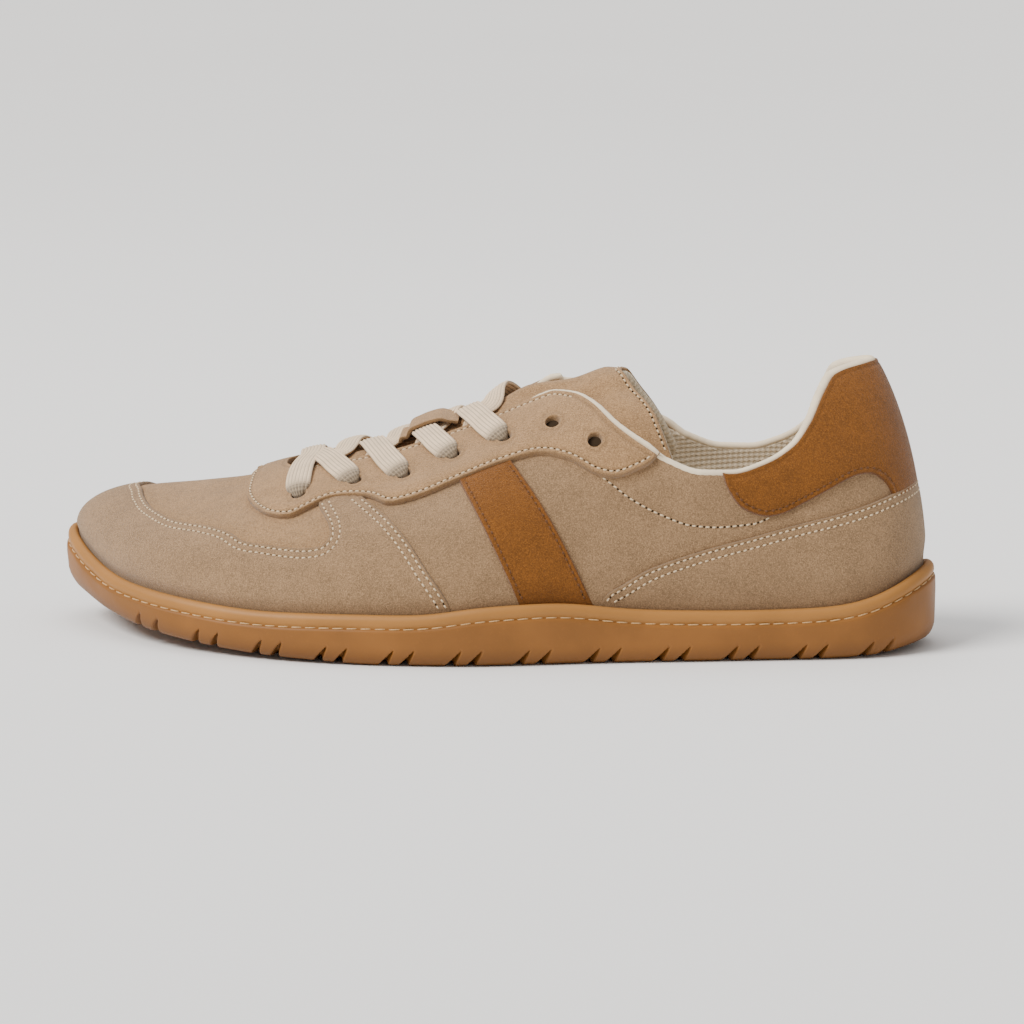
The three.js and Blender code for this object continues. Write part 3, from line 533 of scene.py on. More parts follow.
def is_vamp(turn, rise):
    """1 on the warmer leather ahead of the side strips, 0 behind them."""
    return smoothstep((along_at(turn) - 0.62) / 0.02)


# Overlays cut from leather and sewn on
def inset(loop, distance, sign):
    """The same loop moved inward by a distance along the leather, and which stops are good."""
    places = loop / PLANE
    surface = last(places[:, 0], places[:, 1])
    run = unit(np.roll(surface, -1, 0) - np.roll(surface, 1, 0))
    along_turn, along_rise = slopes(places[:, 0], places[:, 1])
    normal = unit(np.cross(along_turn, along_rise))
    inward = np.cross(normal, run) * sign
    step = inward * distance
    pairs = ((along_turn, along_turn), (along_turn, along_rise), (along_rise, along_rise))
    aa, ab, bb = (np.sum(p * q, 1) for p, q in pairs)
    pa, pb = np.sum(step * along_turn, 1), np.sum(step * along_rise, 1)
    flat = aa * bb - ab * ab
    moved = places + np.stack([(pa * bb - pb * ab) / flat, (pb * aa - pa * ab) / flat], -1)
    reached = last(moved[:, 0], moved[:, 1])
    good = nearest(reached, surface) > 0.965 * distance
    return moved * PLANE, good


def nearest(points, others, chunk=400):
    """Each point's distance to the closest of the others."""
    best = []
    for i in range(0, len(points), chunk):
        best.append(np.sqrt(((points[i:i + chunk, None] - others[None]) ** 2).sum(-1).min(1)))
    return np.concatenate(best)


def inside(points, loop):
    """Which points lie inside a closed loop."""
    x, y = points[:, :1], points[:, 1:]
    x0, y0 = loop[:, 0], loop[:, 1]
    x1, y1 = np.roll(x0, -1), np.roll(y0, -1)
    crosses = (y0 > y) != (y1 > y)
    at = x0 + (y - y0) * (x1 - x0) / np.where(y1 == y0, 1e-12, y1 - y0)
    return (np.sum(crosses & (x < at), 1) % 2) == 1


def loop_sign(loop):
    """Which way is inward for a loop of the flat pattern."""
    area = np.sum(loop[:, 0] * np.roll(loop[:, 1], -1) - np.roll(loop[:, 0], -1) * loop[:, 1])
    return 1.0 if area > 0 else -1.0


ROUND_EDGE = 0.5     # radius of a cut edge
SEAM_DEPTH = 0.22    # how deep a row of stitches presses into the leather
HOLE_STOPS = 28
HOLE_RINGS = (0, 0.15, 0.35, 0.7, 1.2)
HOLE_CLEAR = EYELET_HOLE / 2 + 1.9


def leather_height(away, height, seams):
    """How high a cut piece of leather stands, by the distance from its edge."""
    t = np.clip(away / ROUND_EDGE, 0, 1)
    top = height * (0.3 + 0.7 * np.sqrt(1 - (1 - t) ** 2)) + 0.25 * (1 - np.exp(-away / 5))
    for seam in seams:
        top = top - SEAM_DEPTH * np.exp(-((away - seam) / 0.45) ** 2)
    return top


def leather(name, outline, height, seams, holes=(), step=1.2):
    """A piece of leather on the last, inside a closed outline of [turn, rise] places, and what
    its seams need to know of its edge."""
    loop = resample(np.asarray(outline) * PLANE, 0.75, True)
    sign = loop_sign(loop)
    stops, depth, edges = [loop], [np.zeros(len(loop))], []
    count = len(loop)
    edges += [(i, (i + 1) % count) for i in range(count)]
    rings = [0.15, 0.35, 0.7] + [seam + shift for seam in seams for shift in (-0.45, 0, 0.45)]
    for ring in rings:
        moved, good = inset(loop, ring, sign)
        good &= inside(moved, loop)
        numbers = np.cumsum(good) - 1 + count
        edges += [(int(numbers[i]), int(numbers[i + 1])) for i in range(len(loop) - 1)
                  if good[i] and good[i + 1]]
        stops.append(moved[good])
        depth.append(np.full(int(good.sum()), ring))
        count += int(good.sum())
    for turn, rise in holes:
        along_turn, along_rise = (v[0] for v in slopes(np.array([turn]), np.array([rise])))
        frame_in = np.linalg.pinv(np.stack([along_turn, along_rise], 1))
        side = unit(along_turn)
        other = unit(np.cross(np.cross(along_turn, along_rise), along_turn))
        angles = angles_round(HOLE_STOPS)[:, None]
        for ring in HOLE_RINGS:
            circle = (EYELET_HOLE / 2 + ring) * (np.cos(angles) * side + np.sin(angles) * other)
            stops.append((np.array([turn, rise]) + circle @ frame_in.T) * PLANE)
            depth.append(np.full(HOLE_STOPS, ring))
            edges += [(count + i, count + (i + 1) % HOLE_STOPS) for i in range(HOLE_STOPS)]
            count += HOLE_STOPS
    rims = [stops[1 + len(rings) + len(HOLE_RINGS) * k] for k in range(len(holes))]
    low, high = loop.min(0), loop.max(0)
    xs, ys = np.arange(low[0], high[0], step), np.arange(low[1], high[1], step * 0.87)
    field = np.stack(np.meshgrid(xs, ys), -1)
    field[1::2, :, 0] += step / 2
    field = field.reshape(-1, 2)
    field = field[inside(field, loop)]
    surface = last(*(field / PLANE).T)
    border = np.concatenate([loop] + rims)
    away = nearest(surface, last(*(border / PLANE).T))
    centres = last(*np.array(holes).T) if len(holes) else np.full((1, 3), 1e6)
    off_holes = nearest(surface, centres) > HOLE_CLEAR
    off_stops = nearest(surface, last(*(np.concatenate(stops) / PLANE).T)) > 0.75
    keep = ((away > max(rings) + 0.55) | ((away > 1.0) & off_stops)) & off_holes
    stops.append(field[keep])
    depth.append(away[keep])
    flat, depth = np.concatenate(stops), np.concatenate(depth)
    made = delaunay_2d_cdt([Vector(p) for p in flat.tolist()], edges, [], 0, 1e-5)
    flat = np.array([tuple(v) for v in made[0]])
    depth = np.array([depth[ids[0]] if ids else 0.0 for ids in made[3]])
    triangles = np.array([face for face in made[2] if len(face) == 3])
    middle = flat[triangles].mean(1)
    keep = inside(middle, loop)
    for rim in rims:
        keep &= ~inside(middle, rim)
    triangles = triangles[keep]
    turn, rise = (flat / PLANE).T
    seen = set()
    for a, b, c in triangles.tolist():
        seen.update(((a, b), (b, c), (c, a)))
    open_edges = [(a, b) for a, b in seen if (b, a) not in seen]
    top = last(turn, rise, leather_height(depth, height, seams))
    low_side = last(turn, rise, -0.3)
    size = len(flat)
    faces = triangles.tolist() + (triangles[:, ::-1] + size).tolist()
    faces += [[b, a, a + size, b + size] for a, b in open_edges]
    # Raw cut edges darker, with painted shade along the edge and in the seam channels; the underside darkest.
    seam_channel_shade = sum(np.exp(-((depth - seam) / 0.42) ** 2) for seam in seams)
    cut = np.concatenate([np.exp(-depth / 0.5) + 0.6 * seam_channel_shade, np.ones(size)])
    # The foot layer is painted shade where the leather meets the sole.
    foot = np.tile(painted_foot_shade(turn, rise), 2)
    piece = build(name, np.concatenate([top, low_side]), faces, cut=cut, foot=foot)
    return piece, (loop, sign, height, seams)


def places(rows):
    """Rows of [along, rise] as [turn, rise], on the outer side."""
    return np.array([[float(turn_at(along)), rise] for along, rise in rows])


def over_toe(path):
    """A path's twin on the inner side, reached round the toe, in backward order."""
    return (path * [-1, 1] + [2 * math.pi, 0])[::-1]


def over_heel(path):
    return (path * [-1, 1])[::-1]


def over_throat(path):
    return (path * [1, -1] + [0, 2])[::-1]


FOOT = -0.1          # how far a piece reaches down inside the sole, as a rise
EYESTAY_EDGE = ((0.287, 0.418), (0.298, 0.392), (0.312, 0.378), (0.335, 0.368), (0.359, 0.392), (0.391, 0.47),
                (0.427, 0.533), (0.468, 0.547), (0.528, 0.536), (0.576, 0.512), (0.608, 0.512), (0.641, 0.577),
                (0.67, 0.598), (0.694, 0.592), (0.711, 0.55), (0.73, 0.505), (0.757, 0.52), (0.785, 0.58),
                (0.815, 0.68), (0.842, 0.82), (0.862, 0.93), (0.868, 1.0))
EYESTAY_RISE = edge_curve([row[0] for row in EYESTAY_EDGE], [row[1] for row in EYESTAY_EDGE])
MUDGUARD_REAR = ((0.515, FOOT), (0.515, 0.0), (0.547, 0.174), (0.575, 0.315), (0.605, 0.44), (0.63, 0.528),
                 (0.65, 0.595))
MUDGUARD_TOP = ((0.666, 0.66), (0.686, 0.69), (0.705, 0.67), (0.708, 0.62), (0.699, 0.55), (0.687, 0.495),
                (0.674, 0.427), (0.6685, 0.36), (0.674, 0.322), (0.694, 0.313), (0.72, 0.33), (0.745, 0.35),
                (0.772, 0.37), (0.8, 0.432), (0.835, 0.47), (0.88, 0.49), (0.91, 0.53), (0.935, 0.57),
                (0.958, 0.63), (0.985, 0.72), (1.0, 0.76))
FOXING_TOP = ((0.362, FOOT), (0.353, 0.0), (0.345, 0.034), (0.333, 0.054), (0.304, 0.099), (0.254, 0.139),
              (0.188, 0.173), (0.121, 0.204), (0.053, 0.224), (0.0, 0.228))
HEEL_TAB_EDGE = ((0.2185, 0.34), (0.216, 0.31), (0.211, 0.283), (0.202, 0.252), (0.187, 0.231),
                 (0.172, 0.222), (0.154, 0.227), (0.13, 0.25), (0.103, 0.277), (0.076, 0.302),
                 (0.059, 0.309), (0.046, 0.302), (0.036, 0.28), (0.029, 0.25), (0.025, 0.21),
                 (0.022, 0.185), (0.0, 0.18))
BAND_FOOT = (0.345, 0.425)
BAND_HEAD = (0.462, 0.525)
UNDER_EYESTAY = 0.018   # how far the band's head reaches under the eyestay, as a rise
BELOW_TOP = 0.004       # how far a piece stops short of the upper's top edge, as a rise


def eyestay_outline():
    edge = rounded(places(EYESTAY_EDGE) * PLANE) / PLANE
    turns = np.linspace(THROAT_END, edge[0, 0], 160)
    top = np.stack([turns, opening(turns) - BELOW_TOP], 1)
    inner_top = np.stack([turns, 2 - opening(-turns) + BELOW_TOP], 1)[::-1]
    return np.concatenate([edge[:-1], over_throat(edge)[:-1], inner_top, top[1:-1]])


def mudguard_outline():
    half = rounded(places(MUDGUARD_REAR + MUDGUARD_TOP) * PLANE) / PLANE
    return np.concatenate([half, over_toe(half)[1:]])


def foxing_outline():
    half = rounded(places(FOXING_TOP) * PLANE) / PLANE
    return np.concatenate([half, over_heel(half)[1:]])


def heel_tab_outline():
    half = rounded(places(HEEL_TAB_EDGE) * PLANE) / PLANE
    turns = np.linspace(-half[0, 0], half[0, 0], 160)
    top = np.stack([turns, opening(turns) - BELOW_TOP], 1)
    return np.concatenate([half, over_heel(half)[1:], top[1:-1]])


def band_outline(side):
    head = [[float(turn_at(along)), float(EYESTAY_RISE(along)) + UNDER_EYESTAY]
            for along in np.linspace(*BAND_HEAD, 8)]
    foot = [[float(turn_at(along)), FOOT] for along in BAND_FOOT]
    return np.array([foot[0]] + head + [foot[1]]) * [side, 1]


# Threads
def curve_frames(points, normals):
    """Along, across and up, at each point of a path."""
    run = unit(np.gradient(points, axis=0))
    side = unit(np.cross(normals, run))
    return run, side, unit(np.cross(run, side))


def capsule(length, radius, around=6):
    """A stitch of thread: points and faces of a rounded bar along x, arched in the middle."""
    stations = np.array([-0.5, -0.44, -0.25, 0, 0.25, 0.44, 0.5]) * length
    fat = np.array([0.3, 0.8, 1, 1, 1, 0.8, 0.3]) * radius
    arch = np.array([-1.6, -0.7, 0.2, 0.45, 0.2, -0.7, -1.6]) * radius
    rings = [[[x, wide * math.cos(a), z + 0.8 * wide * math.sin(a)] for a in angles_round(around)]
             for x, wide, z in zip(stations, fat, arch)]
    return np.array(rings).reshape(-1, 3), tube(len(stations), around)


class Thread:
    """Stitches of one thread, gathered from many seams into one mesh."""

    def __init__(self, name, length, radius, pitch, lean=0.12):
        self.name, self.pitch, self.lean = name, pitch, lean
        self.shape, self.faces = capsule(length, radius)
        self.points, self.quads, self.gaps = [], [], []

    def seam(self, stops, normals):
        """Stitches along stops, which lie on the leather."""
        if len(stops) < 3:
            return
        lengths = path_lengths(stops)
        count = int(lengths[-1] / self.pitch)
        if count < 2:
            return
        at = (np.arange(count) + 0.5) * lengths[-1] / count
        even = [read_along(at, lengths, rows) for rows in (stops, normals)]
        run, side, up = curve_frames(even[0], unit(even[1]))
        slanted = unit(run + self.lean * side)
        across = np.cross(up, slanted)
        x, y, z = (self.shape[:, k] for k in range(3))
        made = even[0][:, None] + x[None, :, None] * slanted[:, None] + y[None, :, None] * across[:, None]
        made = made + z[None, :, None] * up[:, None]
        start = sum(len(p) for p in self.points)
        self.points.append(made.reshape(-1, 3))
        size = len(self.shape)
        self.quads += [[start + i * size + k for k in face] for i in range(count) for face in self.faces]
        halfway = (even[0][:-1] + even[0][1:]) / 2
        self.gaps.append((halfway, up[:-1], run[:-1]))

    def sew(self, edge, distance, shown):
        """Stitches at a distance inside a piece of leather's edge, where they show."""
        for stops, normals in seam_runs(*edge, distance, shown):
            self.seam(stops, normals)

    def make(self):
        return build(self.name, np.concatenate(self.points), self.quads)


def needle_hole_shades(name, threads, radius):
    """Painted shade in the needle holes between the stitches, as small dark flat discs sunk in the leather."""
    around = 8
    angles = angles_round(around)[None, :, None]
    points, faces = [], []
    for thread in threads:
        for centres, up, run in thread.gaps:
            side = np.cross(up, run)
            ring = radius * (np.cos(angles) * run[:, None] + np.sin(angles) * side[:, None])
            start = sum(len(p) for p in points)
            for height in (0.03, -0.25):
                points.append((centres[:, None] + ring + height * up[:, None]).reshape(-1, 3))
            size = len(centres) * around
            for i in range(len(centres)):
                top = [start + i * around + k for k in range(around)]
                low = [size + k for k in top]
                faces += [top, low[::-1]] + bridge(top, low, True)
    return build(name, np.concatenate(points), faces)


def seam_runs(loop, sign, height, seams, distance, shown):
    """Stretches of a seam at a distance inside an outline, where it shows."""
    moved, good = inset(loop, distance, sign)
    turn, rise = (moved / PLANE).T
    good = good & shown(turn, rise)
    level = leather_height(np.array(distance), height, seams)
    stops = last(turn, rise, level)
    normals = facing(turn, rise)
    first = int(np.argmin(good)) if not good.all() else 0
    order = np.roll(np.arange(len(loop)), -first)
    longest_gap, fewest = 3, 6
    run = []
    for i in order[good[order]]:
        if run and np.linalg.norm(stops[i] - stops[run[-1]]) > longest_gap:
            if len(run) > fewest:
                yield stops[run], normals[run]
            run = []
        run.append(i)
    if len(run) > fewest:
        yield stops[run], normals[run]


# Sole
NOTCH_WIDTH, NOTCH_HEIGHT, NOTCH_DEPTH = 1.8, 4.2, 11.0
NOTCH_PITCH, NOTCH_GAP = 20.4, 6.3
FIRST_PAIR, LAST_PAIR = 0.06, 0.93
NOTCH_SLANT = math.radians(36)
NOTCHES = [FIRST_PAIR * SOLE_LENGTH + pair * NOTCH_PITCH + half * NOTCH_GAP
           for pair in range(int(SOLE_LENGTH * (LAST_PAIR - FIRST_PAIR) / NOTCH_PITCH) + 1)
           for half in (-0.5, 0.5)]
NOTCH_CUT, NOTCH_LIFT = 2.1, 1.3     # how deep a notch goes into the side, and up from below
BOTTOM_ROUND = 4.5
TOE_DRAW = 1.6       # how far the sole's foot draws in at the toe
TREAD_PITCH, TREAD_DEPTH = 10.2, 0.7
CHANNEL_DEPTH = 0.62
SOLE_COLUMNS = 740
BELOW_CHANNEL = 21   # rows of the sole's side under its stitch channel, from the ground up


def sole_turns():
    """Turns along one side, closer together at the notches."""
    close = np.min([np.abs(EDGE_X - at) for at in NOTCHES], 0)
    weight = 1 + 1.7 * np.exp(-(close / 3.2) ** 2)
    total = np.concatenate([[0], np.cumsum(np.diff(EDGE_LENGTHS) * (weight[1:] + weight[:-1]) / 2)])
    return np.interp(np.linspace(0, total[-1], SOLE_COLUMNS), total, FINE_TURNS)


def sole_section(low, high):
    """The sole's side: inset from the edge and height, from the bottom up and over the rim."""
    tall, step = high - low, high - STITCH_DROP
    return np.array([
        (NOTCH_DEPTH + 1, low), (9.5, low), (8, low), (6.5, low), (5.2, low), (BOTTOM_ROUND, low + 0.02),
        (3.6, low + 0.12), (2.7, low + 0.38), (1.9, low + 0.85), (1.25, low + 1.5), (0.8, low + 2.3),
        (0.42, low + 3.3), (0.18, low + 4.3), (0.1, low + 5.2), (0.05, low + 6.2), (0.0, low + 0.62 * tall),
        (0.0, step - 1.0), (0.08, step - 0.35), (0.45, step - 0.02), (0.85, step + 0.08), (0.85, step + 0.4),
        (0.62, step + 0.85), (0.42, step + 1.5), (0.45, step + 2.2), (0.6, step + 2.9), (0.95, high - 0.75),
        (1.45, high - 0.25), (2.05, high), (2.7, high - 0.02), (3.3, high - 0.35), (3.75, high - 1.0),
        (RIM_WALL, high - 2.2), (RIM_WALL, (high + low + SOLE_FLOOR) / 2), (RIM_WALL, low + SOLE_FLOOR),
    ])


def floor_faces(columns, row_count, row, middle_start, across):
    """Faces over a floor, from each outer column to its inner twin, through the points between."""
    half = columns // 2
    lines = []
    for i in range(half + 1):
        twin = (columns - i) % columns
        between = [middle_start + i * across + k for k in range(across)]
        lines.append([i * row_count + row] + between + [twin * row_count + row])
    faces = []
    for here, there in zip(lines, lines[1:]):
        for k in range(len(here) - 1):
            quad = [here[k], here[k + 1], there[k + 1], there[k]]
            faces.append([q for n, q in enumerate(quad) if q not in quad[:n]])
    return [face for face in faces if len(face) > 2]


def floor_points(ring, across):
    """Even points between each outer column's stop and its twin's."""
    share = (np.arange(across) + 1)[:, None] / (across + 1)
    return np.concatenate([ring[i] + (ring[(len(ring) - i) % len(ring)] - ring[i]) * share
                           for i in range(len(ring) // 2 + 1)])


def slanted_turns(turns, lift):
    """Each column's turn at each height, leaning as the notches do near the ground."""
    at = np.interp(np.abs(turns), FINE_TURNS, EDGE_LENGTHS)
    slope = np.interp(at, EDGE_LENGTHS, np.gradient(EDGE_X, EDGE_LENGTHS))
    low_part = np.minimum(lift, 5.2) * (1 - smoothstep((lift - 5.5) / 4.5))
    moved = at[:, None] - np.tan(NOTCH_SLANT) * low_part * slope[:, None]
    moved = np.clip(moved, 0, EDGE_LENGTHS[-1])
    return np.sign(turns + 1e-12)[:, None] * np.interp(moved, EDGE_LENGTHS, FINE_TURNS)


def make_outsole():
    """The gum cup sole: notched sides, stitch channel, rim, ribbed underside and cup."""
    turns = both_sides(sole_turns())
    low, high = ground(turns), rim_top(turns)
    sections = np.stack([sole_section(a, b) for a, b in zip(low, high)])
    inset_by, level = sections[..., 0], sections[..., 1]
    columns, rows = level.shape
    lift = level - low[:, None]
    leaning = slanted_turns(turns, lift)
    away = np.min([np.abs(edge_point(turns)[0] - at) for at in NOTCHES], 0)[:, None]
    wide = NOTCH_WIDTH * (1.1 - 0.8 * np.clip(lift / NOTCH_HEIGHT, 0, 1))
    slot = smoothstep((wide * 0.9 - away) / (wide * 0.7))
    on_side = np.arange(rows)[None, :] < BELOW_CHANNEL
    fade = smoothstep((NOTCH_HEIGHT + 0.9 - lift) / 2.2) * on_side
    at_toe = smoothstep((edge_point(leaning)[0] / SOLE_LENGTH - 0.86) / 0.12)
    inset_by = inset_by + TOE_DRAW * at_toe * smoothstep((9 - lift) / 9) * on_side
    inset_by = inset_by + NOTCH_CUT * slot * fade * (inset_by < BOTTOM_ROUND + 0.1)
    reach = smoothstep((NOTCH_DEPTH - inset_by) / 3)
    level = level + NOTCH_LIFT * slot * fade * reach
    swell = 0.12 * np.sin(turns * 31)[:, None] * (np.abs(lift - lift[:, 15:16]) < 3)
    points = from_edge(leaning, inset_by + swell, level)
    across = 20
    under, cup = floor_points(points[:, 0], across), floor_points(points[:, -1], across)
    ribs = smoothstep((np.sin(2 * math.pi * under[:, 0] / TREAD_PITCH) - 0.62) / 0.2)
    under[:, 2] += TREAD_DEPTH * ribs
    faces = grid_faces(columns, rows, True)
    size = columns * rows
    faces += floor_faces(columns, rows, 0, size, across)
    faces += floor_faces(columns, rows, rows - 1, size + len(under), across)
    band = smoothstep((level - (high - STITCH_DROP)[:, None]) / 0.5) * (np.arange(rows)[None, :] > 16)
    band = np.concatenate([band.ravel(), np.zeros(len(under) + len(cup))])
    # Painted shade: the side darker over its lowest 7 mm, the underside fully, the cup not at all.
    worn = (smoothstep((7 - lift) / 7) * on_side).ravel()
    worn = np.concatenate([worn, np.ones(len(under)), np.zeros(len(cup))])
    everything = np.concatenate([points.reshape(-1, 3), under, cup])
    return build("gum_cup_sole", everything, faces, band=band, worn=worn)


def sole_seam(thread):
    """The sole's side stitching, laid in the channel under its rim."""
    turns = both_sides(FINE_TURNS)
    stops = from_edge(turns, CHANNEL_DEPTH, rim_top(turns) - STITCH_DROP + 0.2)
    normals = np.stack([*outward(turns), np.full(len(turns), 0.25)], -1)
    thread.seam(np.vstack([stops, stops[:1]]), np.vstack([normals, normals[:1]]))


def make_footbed():
    """The lined footbed, dished up at its edge."""
    turns = both_sides(np.linspace(0, math.pi, 150))
    inset_by = RIM_WALL + CLEARANCE + LINING_WALL + 0.1
    low = ground(turns) + SOLE_FLOOR + CLEARANCE
    rows = [(0, 0), (0, 1.5), (0, 3.0), (0.7, 3.6), (2.0, 3.5), (4.0, 3.2), (7.0, 2.95), (10.0, 2.85)]
    points = np.stack([from_edge(turns, inset_by + a, low + b) for a, b in rows], 1)
    across = 16
    under, top = floor_points(points[:, 0], across), floor_points(points[:, -1], across)
    faces = grid_faces(len(turns), len(rows), True)
    size = len(turns) * len(rows)
    faces += floor_faces(len(turns), len(rows), 0, size, across)
    faces += floor_faces(len(turns), len(rows), len(rows) - 1, size + len(under), across)
    return build("footbed", np.concatenate([points.reshape(-1, 3), under, top]), faces)


# Tongue
TONGUE_EDGE = {"along": (0.25, 0.285, 0.33, 0.4, 0.5, 0.6, 0.75, 0.85),
               "rise": (0.38, 0.4, 0.42, 0.5, 0.58, 0.64, 0.7, 0.72)}
TONGUE_RISE = edge_curve(TONGUE_EDGE["along"], TONGUE_EDGE["rise"])
TONGUE_END, TONGUE_CORNER, TONGUE_ROOT = 0.318, 0.287, 0.86
TONGUE_DROP = 2.8
TONGUE_CROWN = 2.4
TONGUE_TWIST = 0.024    # how much further back the tongue reaches on its outer side
TONGUE_ROUND = 0.9      # how fast the tongue's edge rounds into its end
TONGUE_SEAM = 2.1       # how far inside the tongue's end its stitches run


def tongue_end(share):
    """How far back the tongue reaches, from its inner side at -1 to its outer side at 1."""
    back = TONGUE_END + (TONGUE_CORNER - TONGUE_END) * np.abs(share) ** 1.44
    return back - TONGUE_TWIST * np.sin(np.clip(share / 0.6, 0, 1) * math.pi / 2)


def tongue_height(turn, rise):
    """The tongue's top face, by its height over the last."""
    point = last(turn, rise, -TONGUE_DROP)
    aside = np.abs(point[..., 1] - centre_y(point[..., 0])) / (THROAT_RADIUS - 1)
    under = np.clip((THROAT_START - point[..., 0]) / THROAT_RADIUS, 0, 1)
    crown = np.where(aside < 1, np.cos(np.minimum(aside, 1) * math.pi / 2) ** 2, 0)
    along = along_at(turn)
    free = smoothstep((0.42 - along) / 0.05)
    dip = 3.5 * smoothstep((0.5 - along) / 0.12)
    tuck = 1.3 * np.clip((aside - 1) / 2, 0, 1) + 1.7 * smoothstep((aside - 0.4) / 0.8) * free
    return TONGUE_CROWN * crown * under - tuck - dip - TONGUE_DROP


def tongue_layer(name, over, under, grow, steps=170, across=64):
    """A layer of the tongue between two heights, its edge rounded, and grown past the rest."""
    shares = np.linspace(-1, 1, across)
    size = np.abs(shares) ** TONGUE_ROUND
    end = tongue_end(shares) - grow / SOLE_LENGTH
    along = end[:, None] + (TONGUE_ROOT - end)[:, None] * np.linspace(0, 1, steps)[None, :] ** 1.15
    rise = 1 - size[:, None] * (1 - TONGUE_RISE(along)) * (1 + grow * 0.012)
    turn = np.sign(shares + 1e-12)[:, None] * turn_at(along)
    plain = last(turn, rise)
    lengths = np.cumsum(np.linalg.norm(np.diff(plain, axis=1), axis=2), 1)
    from_end = np.concatenate([np.zeros((across, 1)), lengths], 1)
    lengths = np.linalg.norm(np.diff(plain, axis=0), axis=2)
    from_low = np.concatenate([np.zeros((1, steps)), np.cumsum(lengths, 0)], 0)
    from_side = np.minimum(from_low, from_low[-1:] - from_low)
    corner = 7.0
    tight = (from_end < corner) & (from_side < corner)
    in_corner = corner - np.hypot(corner - from_end, corner - from_side)
    away = np.where(tight, in_corner, np.minimum(from_end, from_side))
    soft = 1.3
    round_off = 1 - np.sqrt(np.clip(1 - (1 - np.clip(away / soft, 0, 1)) ** 2, 0, 1))
    padded = 0.9 * smoothstep((away - 1.5) / 6) * smoothstep((0.42 - along) / 0.1)
    groove = 0.25 * np.exp(-((away - 2.0) / 0.5) ** 2) if over == 0 else 0
    height = tongue_height(turn, rise)
    middle = (over + under) / 2
    heights = [height + over + padded - groove - (over - middle) * round_off,
               height + under + (middle - under) * round_off]
    points = [last(turn, rise, level) for level in heights]
    faces = []
    keep = away >= -0.2
    for start, flip in ((0, False), (across * steps, True)):
        for i in range(across - 1):
            for j in range(steps - 1):
                if keep[i, j] and keep[i + 1, j] and keep[i, j + 1] and keep[i + 1, j + 1]:
                    here = start + i * steps + j
                    quad = [here, here + steps, here + steps + 1, here + 1]
                    faces.append(quad[::-1] if flip else quad)
    seen = set()
    for face in faces[:len(faces) // 2]:
        seen.update(zip(face, face[1:] + face[:1]))
    faces += [[b, a, a + across * steps, b + across * steps] for a, b in seen if (b, a) not in seen]
    used = sorted({q for face in faces for q in face})
    number = {old: new for new, old in enumerate(used)}
    faces = [[number[q] for q in face] for face in faces]
    stacked = np.concatenate([p.reshape(-1, 3) for p in points])[used]
    # Darker raw edge round the tongue, with painted shade along it.
    cut = np.concatenate([np.exp(-away / 0.7).ravel(), np.zeros(away.size)])[used]
    return build(name, stacked, faces, cut=cut)


def tongue_seam(thread):
    """One row of stitches round the tongue's loose end."""
    stops, normals = [], []
    for share in np.linspace(-1, 1, 400):
        along = float(tongue_end(share)) + TONGUE_SEAM / SOLE_LENGTH
        level = 1 - abs(share) ** TONGUE_ROUND * (1 - float(TONGUE_RISE(along))) * 0.94
        place = np.array([math.copysign(float(turn_at(along)), share)]), np.array([level])
        stops.append(last(*place, tongue_height(*place) - 0.05)[0])
        normals.append(facing(*place)[0])
    thread.seam(np.array(stops)[20:-20], np.array(normals)[20:-20])


# Laces: flat ribbed cotton, run through the eyelets from the toe up to the fifth row
LACED_ROWS = 5
LACE_RIBS, RIB_DEPTH = 7, 0.19
HIDDEN = -2.95       # the lace's height over the last where it runs under the eyestay
OVER_LEATHER = EYESTAY + 0.25 + LACE_WALL / 2


def hole(row):
    return float(turn_at(EYELETS["along"][row])), EYELETS["rise"][row]


def hole_x(row):
    return float(last(*hole(row))[0])


def lace_side(side, row, middle_x, share):
    """From a hole at 0 to the middle of the throat at 1, where x is given."""
    turn, rise = hole(row)
    middle = float(joined_turn(middle_x))
    return side * (turn + (middle - turn) * share), rise + (1 - rise) * min(share, 0.9999)


# The stops of a lace are [turn, rise, height over the last, width, thickness, how far its sides
# droop]. Here they are shares of the way to the throat's middle, heights, shares of the width,
# thicknesses and droops.
DOWN_THE_HOLE = (
    (0.34, OVER_LEATHER + 0.35, 1.03, LACE_WALL, 0.2), (0.22, OVER_LEATHER + 0.3, 1.03, 1.45, 0.35),
    (0.13, OVER_LEATHER + 0.1, 1.0, 1.7, 0.55), (0.065, OVER_LEATHER - 0.45, 0.9, 2.0, 0.8),
    (0.025, OVER_LEATHER - 1.4, 0.68, 2.3, 0.8), (0.015, 0.7, 0.48, 2.5, 0.4), (0.01, -0.9, 0.42, 2.5, 0.1),
)


def down_the_hole(side, row, middle_x):
    """The last stretch of a lace: over the leather, bunched up, and down through the hole."""
    return [(*lace_side(side, row, middle_x, share), height, wide * LACE_WIDTH, thick, droop)
            for share, height, wide, thick, droop in DOWN_THE_HOLE]


def under_the_leather(side, row, middle_x, until):
    """From a hole, flat under the eyestay, to the throat's edge."""
    steps = ((0.0, -1.6, 0.42, 2.3), (0.06, -2.7, 0.5, 1.5), (0.5 * until, HIDDEN, 0.8, 0.95),
             (0.85 * until, HIDDEN - 0.1, 0.95, 1.0))
    return [(*lace_side(side, row, middle_x, share), height, wide * LACE_WIDTH, thick, 0.0)
            for share, height, wide, thick in steps]


def full_width(side, row, middle_x, share, height, droop):
    """A stop where the lace lies flat at its full width."""
    return (*lace_side(side, row, middle_x, share), height, LACE_WIDTH, LACE_WALL, droop)


